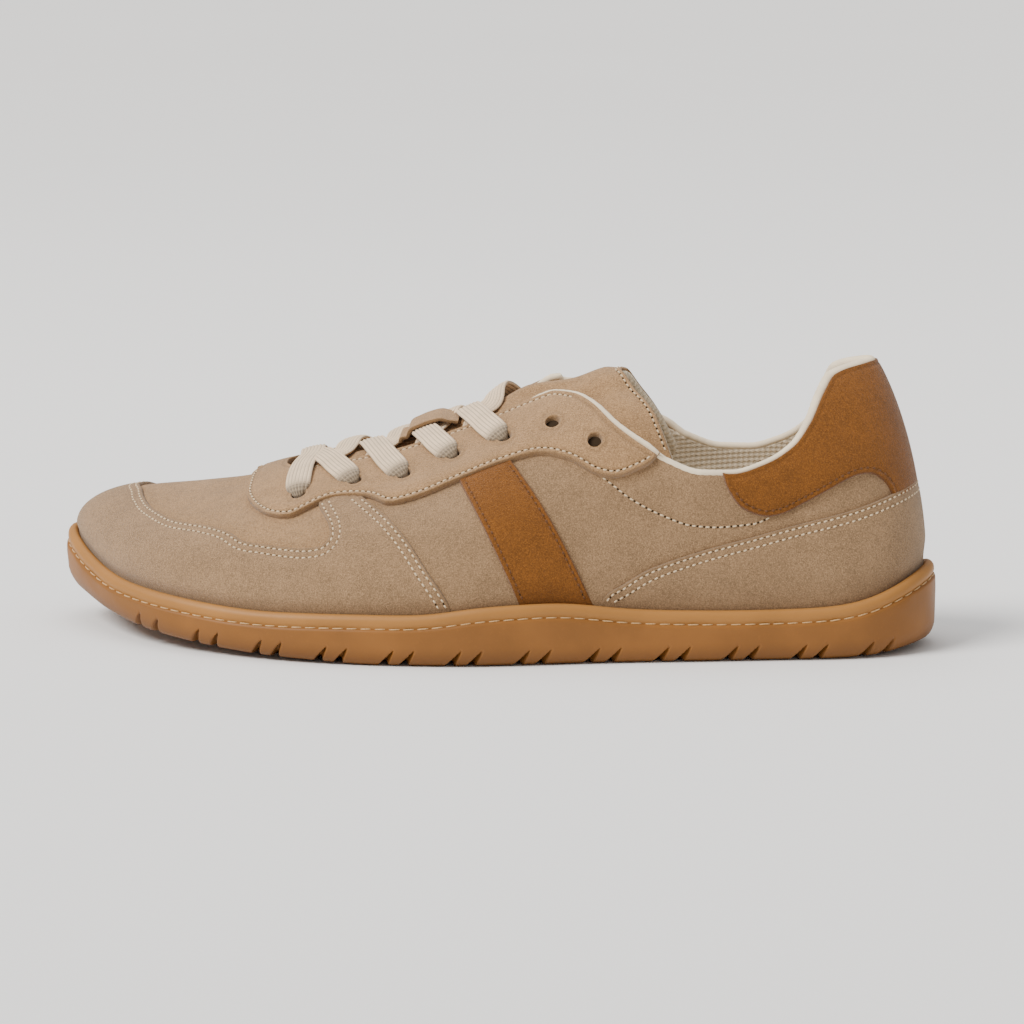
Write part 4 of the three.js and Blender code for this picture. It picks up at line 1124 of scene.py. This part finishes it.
def lace_leg(start_row, side, lift):
    """One lace from a hole, under the leather, over the tongue and down the next hole across."""
    row = start_row + 1
    start_x = hole_x(start_row) - (0.1 if side > 0 else 0.6) * LACE_WIDTH
    end_x = hole_x(row)
    middle_x = start_x + (end_x - start_x) * (0.1 if side > 0 else 0.35)
    edge = [s for s in np.linspace(0, 1, 101)
            if abs(last(*lace_side(-side, start_row, start_x, s))[1] - centre_y(start_x))
            < THROAT_RADIUS - 2.5][0]
    crest = TONGUE_CROWN - TONGUE_DROP + 1.1 + lift
    between = (crest + OVER_LEATHER + 0.8) / 2
    return under_the_leather(-side, start_row, start_x, edge) + [
        full_width(-side, start_row, start_x, edge, -0.9, 0.0),
        full_width(-side, start_row, (start_x + middle_x) / 2, (1 + edge) / 2, crest * 0.75, 0.0),
        full_width(side, row, middle_x, 1.0, crest, 0.1),
        full_width(side, row, middle_x, 0.72, between, 0.1),
        full_width(side, row, middle_x, 0.48, OVER_LEATHER + 0.5, 0.15),
    ] + down_the_hole(side, row, middle_x)


def lace_bar():
    """The straight lace in the first row, from hole to hole."""
    x = hole_x(0)
    outer, inner = ([full_width(side, 0, x, 0.62, OVER_LEATHER + 0.2, 0.1)] + down_the_hole(side, 0, x)
                    for side in (1, -1))
    return inner[::-1] + [full_width(1, 0, x, 1.0, OVER_LEATHER - 0.4, 0.1)] + outer


def swept(centre, normal, step):
    """A smooth path through stops: their lengths, even cuts along it, and the frame at each cut."""
    chord = path_lengths(centre)
    at = np.linspace(0, chord[-1], int(chord[-1] / step))
    middle = np.stack([spline(chord, centre[:, k])(at) for k in range(3)], -1)
    return chord, at, middle, curve_frames(middle, unit(read_along(at, chord, normal)))


def lace_mesh(name, legs):
    """Flat ribbed laces through their stops, with how far across and along each point is, and painted shade
    where a lace sinks below the leather near its ends.
    """
    points, faces, layers = [], [], {"across": [], "along": [], "deep": []}
    around = 60
    angles = angles_round(around)
    across, top_or_bottom = np.cos(angles), np.sign(np.sin(angles))
    round_side = top_or_bottom * (1 - np.abs(across) ** 3.2) ** 0.5
    waves = np.abs(np.sin(LACE_RIBS * math.pi * (across + 1) / 2)) ** 1.4
    ribs = RIB_DEPTH * (1 - 2 * waves) * top_or_bottom * -1
    ribs = ribs * (np.abs(across) < 0.93)
    for stops in legs:
        table = np.array(stops)
        turn, rise = table[:, 0], table[:, 1]
        normal = facing(turn, rise)
        centre = last(turn, rise) + normal * table[:, 2:3]
        chord, at, middle, (run, side, _) = swept(centre, normal, 0.5)
        steady = [np.convolve(np.pad(side[:, k], 4, "edge"), np.ones(9) / 9, "valid") for k in range(3)]
        side = unit(np.stack(steady, -1))
        up = unit(np.cross(run, side))
        wide, thick, droop = (np.interp(at, chord, table[:, k])[:, None] for k in (3, 4, 5))
        height = thick / 2 * round_side + ribs - droop * across ** 2 * 1.3
        ring = middle[:, None] + (wide / 2 * across)[..., None] * side[:, None]
        ring = ring + height[..., None] * up[:, None]
        faces += tube(len(at), around, sum(len(p) for p in points))
        points.append(ring.reshape(-1, 3))
        # Painted shade where the lace sinks under the leather or down into a hole, near its ends; kept in the
        # deep layer.
        deep = smoothstep((OVER_LEATHER + 0.45 - np.interp(at, chord, table[:, 2])) / 0.9)
        deep = deep * smoothstep((9 - np.minimum(at, chord[-1] - at)) / 3)
        for layer, values in (("across", (across + 1) / 2), ("along", at[:, None]), ("deep", deep[:, None])):
            layers[layer].append(np.broadcast_to(values, ring.shape[:2]).ravel())
    layers = {layer: np.concatenate(parts) for layer, parts in layers.items()}
    return build(name, np.concatenate(points), faces, sharp=math.radians(70), **layers)


def make_eyelet_hole_shade():
    """Dark discs behind the eyelets: painted shade in the holes."""
    around = 24
    points, faces = [], []
    angles = angles_round(around)[:, None]
    for turn, rise in HOLES:
        normal = facing(np.array([turn]), np.array([rise]))[0]
        centre = last(turn, rise, 0.25)
        side = unit(np.cross(normal, [0.0, 0.0, 1.0]))
        circle = (EYELET_HOLE / 2 + 0.35) * (np.cos(angles) * side + np.sin(angles) * np.cross(normal, side))
        start = sum(len(p) for p in points)
        points.append(np.concatenate([centre + circle, centre + circle - 0.3 * normal]))
        top = list(range(start, start + around))
        low = [q + around for q in top]
        faces += [top, low[::-1]] + bridge(top, low, True)
    return build("eyelet_hole_shade", np.concatenate(points), faces)


def ribbon(name, centre, normal, wide, thick, round_edge=0.35):
    """A flat strap of leather along a path."""
    _, at, middle, (_, side, up) = swept(centre, normal, 0.45)
    half, deep, e = wide / 2, thick / 2, round_edge
    flat = np.linspace(-1, 1, 15)[1:-1] * (half - e)
    bevel = [(-half, 0), (-half + 0.3 * e, deep - 0.3 * e), (-half + e, deep)]
    section = bevel + [(y, deep) for y in flat] + [(-y, z) for y, z in bevel[::-1]]
    section += [(half - 0.3 * e, -deep + 0.3 * e), (half - e, -deep)] + [(y, -deep) for y in flat[::-1]]
    section = np.array(section + [(-half + e, -deep), (-half + 0.3 * e, -deep + 0.3 * e)])
    ring = middle[:, None] + section[None, :, :1] * side[:, None] + section[None, :, 1:] * up[:, None]
    # Darker raw edges, with painted shade along them.
    cut = np.broadcast_to(np.exp(-(half - np.abs(section[:, 0])) / 0.4), ring.shape[:2]).ravel()
    return build(name, ring.reshape(-1, 3), tube(len(at), len(section)), cut=cut)


KEEPER_WIDTH, KEEPER_WALL = 10.0, 1.1
KEEPER_ARCH = ((0, 0.2), (0.05, 0.5), (0.13, 0.45), (0.22, 0.85), (0.35, 1.0), (0.5, 1.04), (0.65, 1.0),
               (0.78, 0.85), (0.88, 0.5), (0.95, 0.35), (1, 0.2))


def make_keeper():
    """The suede loop on the tongue that holds the fourth crossing."""
    start_x, end_x = hole_x(2) + 4.5, hole_x(3) + 1.5
    base = TONGUE_CROWN - TONGUE_DROP
    over = base + 1.1 + 1.5 + LACE_WALL / 2 + 0.9
    centre, normal = [], []
    for share, level in KEEPER_ARCH:
        turn = np.array([float(joined_turn(start_x + (end_x - start_x) * share))])
        rise = np.array([0.9999])
        out = facing(turn, rise)
        centre.append((last(turn, rise) + out * (base + (over - base) * level))[0])
        normal.append(out[0])
    return ribbon("keeper_loop", np.array(centre), np.array(normal), KEEPER_WIDTH, KEEPER_WALL)


COLLAR_END = 0.47    # how far forward the collar's rolled edge reaches


def make_collar_edge():
    """The lining's cream edge, rolled over the collar from one front corner to the other."""
    turns = np.linspace(float(turn_at(COLLAR_END)), -float(turn_at(COLLAR_END)), 480)
    count = np.arange(len(turns))
    rise = opening(turns)
    normal = facing(turns, rise)
    centre = last(turns, rise, -1.05)
    run = unit(np.gradient(centre, axis=0))
    up = unit(np.cross(run, normal))
    up = np.where(up[:, 2:] < 0, -up, up)
    ends = smoothstep(np.minimum(count, count[::-1]) / 14)
    at_heel = smoothstep((0.16 - along_at(turns)) / 0.1)[:, None]
    at_eyestay = smoothstep((along_at(turns) - 0.28) / 0.025)[:, None]
    centre = centre + up * (0.3 * ends - 1.2 * (1 - ends))[:, None] + at_heel * (0.5 * up - 0.6 * normal)
    centre = centre + at_eyestay * (1.0 * up + 0.9 * normal)
    around = 18
    angles = angles_round(around)
    ripple = 1 + 0.035 * np.sin(count * 2.1)[:, None]
    wide, high = ((radius + 0.6 * at_heel) * ripple * (0.4 + 0.6 * ends)[:, None] for radius in (1.25, 1.15))
    ring = centre[:, None] + (wide * np.cos(angles))[..., None] * normal[:, None]
    ring = ring + (high * np.sin(angles))[..., None] * up[:, None]
    return build("collar_edge", ring.reshape(-1, 3), tube(len(turns), around))


# Finishes
class Value:
    """A socket used as a number, so that shader maths reads as plain sums."""

    def __init__(self, finish, socket):
        self.finish, self.socket = finish, socket

    def math(self, operation, *others):
        return self.finish.node("ShaderNodeMath", {"operation": operation}, dict(enumerate((self, *others))))

    def __add__(self, other):
        return self.math("ADD", other)

    def __mul__(self, other):
        return self.math("MULTIPLY", other)

    def __sub__(self, other):
        return self.math("SUBTRACT", other)

    def __rsub__(self, other):
        return self.finish.node("ShaderNodeMath", {"operation": "SUBTRACT"}, {0: other, 1: self})

    def __abs__(self):
        return self.math("ABSOLUTE")

    __radd__, __rmul__ = __add__, __mul__

    def fraction(self):
        return self.math("FRACT")

    def sine(self):
        return self.math("SINE")

    def between(self, low, high):
        """0 below low and 1 above high, smoothly."""
        stops = {0: self, 1: low, 2: high}
        return self.finish.node("ShaderNodeMapRange", {"interpolation_type": "SMOOTHSTEP"}, stops)


class Finish:
    """A material built from nodes."""

    def __init__(self, name, **constants):
        self.material = bpy.data.materials.new(name)
        self.material.use_nodes = True
        self.nodes, self.links = self.material.node_tree.nodes, self.material.node_tree.links
        self.nodes.clear()
        self.shader = self.nodes.new("ShaderNodeBsdfPrincipled")
        output = self.nodes.new("ShaderNodeOutputMaterial")
        self.links.new(self.shader.outputs[0], output.inputs[0])
        for key, value in constants.items():
            self.shader.inputs[key.replace("_", " ").title().replace("Ior", "IOR")].default_value = value

    def node(self, kind, settings=None, sockets=None, out=0):
        made = self.nodes.new(kind)
        for key, value in (settings or {}).items():
            setattr(made, key, value)
        for key, value in (sockets or {}).items():
            self.plug(made.inputs[key], value)
        return Value(self, made.outputs[out])

    def plug(self, socket, value):
        if isinstance(value, Value):
            self.links.new(value.socket, socket)
        elif isinstance(value, tuple) and len(value) == 3 and socket.type == "RGBA":
            socket.default_value = (*value, 1)
        else:
            socket.default_value = value

    def place(self):
        return self.node("ShaderNodeTexCoord", out=3)

    def layer(self, name):
        return self.node("ShaderNodeAttribute", {"attribute_name": name}, out=2)

    def noise(self, size, detail=3.0, roughness=0.55, place=None):
        """Noise whose lumps are about size millimetres."""
        sockets = {"Vector": place or self.place(), "Scale": 1 / (size * MM), "Detail": detail,
                   "Roughness": roughness}
        return self.node("ShaderNodeTexNoise", {}, sockets)

    def mix(self, factor, first, second):
        return self.node("ShaderNodeMix", {"data_type": "RGBA"}, {0: factor, 6: first, 7: second}, out=2)

    def bump(self, height, distance, strength=1.0, under=None):
        sockets = {"Strength": strength, "Distance": distance * MM, "Height": height}
        made = self.node("ShaderNodeBump", {}, sockets)
        if under:
            self.links.new(under.socket, made.socket.node.inputs["Normal"])
        return made

    def show(self, **sockets):
        for key, value in sockets.items():
            self.plug(self.shader.inputs[key.replace("_", " ").title()], value)
        return self.material


def shade(colour, by):
    """A colour made darker or lighter."""
    return tuple(min(1.0, channel * by) for channel in colour)


def suede(name, colour, warm=None, nap=1.0):
    """Brushed leather: a short nap with clouds where it was stroked, darker raw cut edges with painted shade
    along the edges and seams, and painted shade at the foot.
    """
    finish = Finish(name, sheen_weight=0.25, sheen_roughness=0.5, specular_ior_level=0.12)
    clouds = finish.noise(11, 4, 0.6)
    mottle = finish.noise(1.4, 4, 0.7)
    fibre = finish.noise(0.42, 3, 0.75)
    base = finish.mix(clouds.between(0.36, 0.66), shade(colour, 0.91), shade(colour, 1.07))
    if warm:
        warmed = finish.mix(clouds.between(0.36, 0.66), shade(warm, 0.91), shade(warm, 1.07))
        base = finish.mix(finish.layer("vamp"), base, warmed)
    base = finish.mix(mottle.between(0.42, 0.7) * 0.5, base, shade(colour, 0.62))
    base = finish.mix(fibre.between(0.5, 0.66) * 0.55, base, shade(colour, 1.75))
    base = finish.mix((1 - fibre.between(0.34, 0.5)) * 0.55, base, shade(colour, 0.38))
    # Raw cut edges darker, with painted shade along the edges and in the seam channels.
    cut = finish.layer("cut")
    base = finish.mix(cut.between(0.2, 1.0) * 0.6, base, shade(colour, 0.5))
    # Painted shade at the foot, where the leather meets the sole.
    base = finish.mix(finish.layer("foot") * 0.4, base, shade(colour, 0.45))
    coarse = finish.bump(mottle, 0.35 * nap, 0.5)
    return finish.show(base_color=base, roughness=0.97 - fibre * 0.1,
                       normal=finish.bump(fibre, 0.3 * nap, 1.0, coarse))


GUM, GUM_BAND = (0.24, 0.095, 0.018), (0.33, 0.147, 0.034)


def gum_rubber():
    """Gum rubber: a lighter band over the stitch channel, and painted shade darker toward the ground and on
    the underside.
    """
    colour = GUM
    finish = Finish("gum_rubber", specular_ior_level=0.3)
    clouds = finish.noise(22, 3, 0.5)
    specks = finish.noise(0.8, 3, 0.6)
    base = finish.mix(clouds.between(0.35, 0.7), shade(colour, 0.9), shade(colour, 1.12))
    light = finish.mix(clouds.between(0.3, 0.7), GUM_BAND, shade(GUM_BAND, 1.12))
    base = finish.mix(finish.layer("band"), base, light)
    base = finish.mix(specks.between(0.55, 0.75) * 0.18, base, shade(colour, 1.5))
    # Painted shade toward the ground and on the underside.
    base = finish.mix(finish.layer("worn") * 0.6, base, shade(colour, 0.5))
    return finish.show(base_color=base, roughness=specks * 0.14 + 0.44, normal=finish.bump(specks, 0.06, 0.5))


def cotton(name, colour, woven=True):
    """Flat lace: chevron stitches in lengthwise ribs, with painted shade in the grooves and between the
    stitches.
    """
    finish = Finish(name, sheen_weight=0.3, sheen_roughness=0.6, specular_ior_level=0.15)
    fuzz = finish.noise(0.35, 3, 0.7)
    clouds = finish.noise(6, 2, 0.5)
    height = fuzz * 0.5
    base = finish.mix(clouds.between(0.3, 0.7), shade(colour, 0.92), shade(colour, 1.06))
    if woven:
        # Painted shade from the deep layer, where the lace goes down into a hole.
        base = finish.mix(finish.layer("deep") * 0.95, base, shade(colour, 0.16))
        rib = (finish.layer("across") * LACE_RIBS).fraction()
        slant = abs(rib - 0.5) * 4.4
        stitch = (finish.layer("along") * 6.6 + slant).sine() * 0.5 + 0.5
        # Painted shade in the grooves between the ribs, and lighter painted shade between the stitches.
        groove_shade = (abs(rib - 0.5) * 2).between(0.55, 0.95)
        height = stitch * 0.7 + fuzz * 0.35
        base = finish.mix(groove_shade * 0.9, base, shade(colour, 0.42))
        base = finish.mix((1 - stitch) * 0.3, base, shade(colour, 0.6))
    base = finish.mix(fuzz.between(0.5, 0.75) * 0.2, base, shade(colour, 1.2))
    return finish.show(base_color=base, roughness=0.9 - fuzz * 0.06, normal=finish.bump(height, 0.16, 0.8))


def mesh_lining():
    """Knitted spacer mesh: small holes in a diamond pattern."""
    colour = (0.76, 0.64, 0.47)
    finish = Finish("mesh_lining", sheen_weight=0.25, specular_ior_level=0.15)
    x, y, z = (finish.node("ShaderNodeSeparateXYZ", {}, {0: finish.place()}, axis) for axis in range(3))
    level, across = z + y * 0.9, x + y * 0.3
    turns = 2 * math.pi / (3.4 * MM)
    diamonds = ((level + across) * turns).sine() * ((level - across) * turns).sine()
    holes = diamonds.between(-0.6, 0.5)
    fuzz = finish.noise(0.4, 3, 0.6)
    # Painted shade in the knit's holes: darker there.
    base = finish.mix(holes, shade(colour, 0.8), colour)
    base = finish.mix(fuzz.between(0.4, 0.7) * 0.25, base, shade(colour, 1.3))
    knit = finish.bump(holes + fuzz * 0.2, 0.3, 0.8)
    return finish.show(base_color=base, roughness=0.93 - fuzz * 0.05, normal=knit)


def thread_finish(name, colour):
    finish = Finish(name, sheen_weight=0.2, specular_ior_level=0.3)
    twist = finish.noise(0.3, 2, 0.5)
    base = finish.mix(twist.between(0.35, 0.65), shade(colour, 0.75), shade(colour, 1.1))
    return finish.show(base_color=base, roughness=0.75 - twist * 0.1, normal=finish.bump(twist, 0.1, 0.6))


def dark_finish(name, colour):
    finish = Finish(name, specular_ior_level=0.05)
    grain = finish.noise(0.5, 2, 0.5)
    return finish.show(base_color=finish.mix(grain, shade(colour, 0.7), colour), roughness=0.98 - grain * 0.02)


BEIGE = (0.3, 0.185, 0.096)
WARM = (0.37, 0.218, 0.103)
BROWN = (0.195, 0.07, 0.01)
CREAM = (0.86, 0.65, 0.43)
suede_beige = suede("suede_beige", BEIGE, WARM)
suede_plain = suede("suede_plain", BEIGE)
suede_warm = suede("suede_warm", WARM)
suede_brown = suede("suede_brown", BROWN)
rubber = gum_rubber()
lace_cotton = cotton("lace_cotton", CREAM)
knit_cotton = cotton("knit_cotton", (0.84, 0.7, 0.5), woven=False)
lining_mesh = mesh_lining()
cream_thread = thread_finish("cream_thread", (0.68, 0.52, 0.33))
brown_thread = thread_finish("brown_thread", (0.12, 0.045, 0.01))
sole_thread = thread_finish("sole_thread", (0.56, 0.34, 0.15))
# Near-black finish for discs that stand in for the shade inside needle holes and eyelet holes.
painted_hole_shade = dark_finish("painted_hole_shade", (0.045, 0.03, 0.018))

# The shoe
DOUBLE = (1.15, 3.3)     # rows of stitches, by their distance from a piece's edge
SINGLE = (1.5,)
EYESTAY_SEAM, THROAT_SEAM = 1.35, 2.0
PINHOLE = 0.36

upper = wall("upper_shell", 0.0, -SHELL_WALL, vamp=is_vamp)
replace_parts(dress(upper, suede_beige), "upper")
lining = wall("lining", -SHELL_WALL - 0.05, -LINING_WALL, raised=0.4, rows=60, skirt=0.14)
dress(lining, lining_mesh)
dress(make_collar_edge(), knit_cotton)

mudguard, mudguard_edge = leather("mudguard_leather", mudguard_outline(), OVERLAY, DOUBLE)
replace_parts(dress(mudguard, suede_plain), "mudguard")
foxing, foxing_edge = leather("foxing_leather", foxing_outline(), FOXING, DOUBLE)
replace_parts(dress(foxing, suede_plain), "foxing")
eyestay, eyestay_edge = leather("eyestay_leather", eyestay_outline(), EYESTAY,
                                (EYESTAY_SEAM, THROAT_SEAM), HOLES)
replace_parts(dress(eyestay, suede_warm), "eyestay")
heel_tab, tab_edge = leather("heel_tab_leather", heel_tab_outline(), OVERLAY, SINGLE)
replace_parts(dress(heel_tab, suede_brown), "heel_tab")
band_edges = {}
for side, word in ((1, "outer"), (-1, "inner")):
    band, band_edges[side] = leather(f"saddle_band_leather_{word}", band_outline(side), OVERLAY, SINGLE)
    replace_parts(dress(band, suede_brown), f"saddle_band_{word}")

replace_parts(dress(make_outsole(), rubber), "outsole")
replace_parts(dress(make_footbed(), lining_mesh), "insole")
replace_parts(dress(tongue_layer("tongue_suede", 0.0, -1.3, 0.0), suede_warm), "tongue")
dress(tongue_layer("tongue_lining", -1.2, -4.0, 0.9), lining_mesh)
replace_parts(dress(make_keeper(), suede_warm), "lace_keeper")
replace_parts(dress(lace_mesh("lace_bar_run", [lace_bar()]), lace_cotton), "lace_bar")
for row in range(LACED_ROWS - 1):
    legs = [lace_leg(row, -1, 0.0), lace_leg(row, 1, LACE_WALL + 0.1)]
    crossing = lace_mesh(f"lace_run_{row + 1}", legs)
    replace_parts(dress(crossing, lace_cotton), f"lace_crossing_{row + 1}")

# Seams
FOXING_RISE = edge_curve([row[0] for row in FOXING_TOP[::-1]][:-1], [row[1] for row in FOXING_TOP[::-1]][:-1])
EYESTAY_FRONT = EYESTAY_EDGE[-1][0]
THROAT_STITCHED = (0.4, 0.722)       # where along the shoe the throat's edge is stitched
COLLAR_STITCHED = (0.168, 0.352)
cream = Thread("cream_stitches", length=1.45, radius=0.27, pitch=2.0)
brown = Thread("brown_stitches", length=1.3, radius=0.3, pitch=2.1)
sole_line = Thread("sole_stitches", length=3.4, radius=0.22, pitch=4.3, lean=0.03)


def eyestay_clear(turn, rise):
    """Places below the eyestay's edge and above the sole's rim."""
    folded = np.where(rise > 1, 2 - rise, rise)
    along = along_at(turn)
    return (folded > 0.0) & ((folded < EYESTAY_RISE(along) - 0.012) | (along > EYESTAY_FRONT))


def above_sole(turn, rise):
    return rise > 0


def on_lower_edge(turn, rise):
    """Places on the eyestay nearer its lower edge than the throat."""
    folded = np.where(rise > 1, 2 - rise, rise)
    return folded < (EYESTAY_RISE(along_at(turn)) + opening(np.where(rise > 1, -turn, turn))) / 2


def on_throat(turn, rise):
    x = last(turn, rise)[..., 0] / SOLE_LENGTH
    return ~on_lower_edge(turn, rise) & (x > THROAT_STITCHED[0]) & (x < THROAT_STITCHED[1])


def on_heel_tab(turn, rise):
    """Places on the heel tab above the foxing and under the collar."""
    return (rise > FOXING_RISE(along_at(turn)) + 0.01) & (rise < opening(turn) - 0.045)


for distance in DOUBLE:
    cream.sew(mudguard_edge, distance, eyestay_clear)
    cream.sew(foxing_edge, distance, above_sole)
cream.sew(eyestay_edge, EYESTAY_SEAM, on_lower_edge)
cream.sew(eyestay_edge, THROAT_SEAM, on_throat)
for side in (1, -1):
    along = np.linspace(*COLLAR_STITCHED, 120)
    turn, rise = side * turn_at(along), COLLAR_SEAM_RISE(along)
    cream.seam(last(turn, rise, 0.02), facing(turn, rise))
    brown.sew(band_edges[side], SINGLE[0], eyestay_clear)
tongue_seam(cream)
brown.sew(tab_edge, SINGLE[0], on_heel_tab)
sole_seam(sole_line)
dress(cream.make(), cream_thread)
dress(brown.make(), brown_thread)
dress(sole_line.make(), sole_thread)
# Dark discs as painted shade in the needle holes.
dress(needle_hole_shades("needle_hole_shade_discs", (cream, brown), PINHOLE), painted_hole_shade)
# Dark discs as painted shade in the eyelet holes.
dress(make_eyelet_hole_shade(), painted_hole_shade)

# Camera: the photograph's angle, from the outer side, a little toward the heel and above
AZIMUTH, ELEVATION = math.radians(188), math.radians(9.5)
DISTANCE = 1500.0
PIXELS_PER_MM = 3.224
FRAME_PIXELS = 1024
AIM = (135.0, 0.0, 38.0)     # the point that the camera faces, and how far it is then moved aside
PIXELS_ASIDE = 12
camera_data = bpy.data.cameras.new("camera")
camera_data.lens = PIXELS_PER_MM * DISTANCE * camera_data.sensor_width / FRAME_PIXELS
camera_data.clip_end = 20
camera = bpy.data.objects.new("camera", camera_data)
bpy.context.scene.collection.objects.link(camera)
bpy.context.scene.camera = camera
flat = math.cos(ELEVATION)
back = Vector((math.sin(AZIMUTH) * flat, -math.cos(AZIMUTH) * flat, math.sin(ELEVATION)))
right = Vector((math.cos(AZIMUTH), math.sin(AZIMUTH), 0))
aim = Vector(put(AIM)) + right * (PIXELS_ASIDE / PIXELS_PER_MM * MM)
turned = back.to_track_quat("Z", "Y").to_matrix().to_4x4()
camera.matrix_world = Matrix.Translation(aim + back * DISTANCE * MM) @ turned

PAPER = ((0.9, 0.9, 0.9), (0.93, 0.93, 0.93))
SUNLIGHT = (1, 0.97, 0.93)
ROOM_LIGHT = (1, 0.985, 0.965, 1)
ROOM_POWER = 0.62


def stage():
    """A plain pale floor and soft studio light."""
    floor_mesh = bpy.data.meshes.new("studio_floor")
    floor_mesh.from_pydata([(-6, -6, 0), (6, -6, 0), (6, 6, 0), (-6, 6, 0)], [], [(0, 1, 2, 3)])
    floor = bpy.data.objects.new("studio_floor", floor_mesh)
    bpy.context.scene.collection.objects.link(floor)
    paper = Finish("studio_paper", specular_ior_level=0.1)
    floor_mesh.materials.append(paper.show(base_color=paper.mix(paper.noise(400), *PAPER), roughness=0.9))
    for name, kind, place, size, power in (("key_light", "SUN", (1.3, 1.0, 1.8), 0.5, 3.9),
                                           ("top_light", "AREA", (0.2, -0.3, 1.2), 1.0, 6)):
        data = bpy.data.lights.new(name, kind)
        data.energy = power
        if kind == "SUN":
            data.angle, data.color = size, SUNLIGHT
        else:
            data.size = size
        lamp = bpy.data.objects.new(name, data)
        lamp.location = place
        lamp.rotation_euler = (Vector((0, 0, 0.03)) - Vector(place)).to_track_quat("-Z", "Y").to_euler()
        bpy.context.scene.collection.objects.link(lamp)
    world = bpy.data.worlds.new("studio")
    world.use_nodes = True
    background = world.node_tree.nodes["Background"]
    background.inputs[0].default_value, background.inputs[1].default_value = ROOM_LIGHT, ROOM_POWER
    bpy.context.scene.world = world


stage()
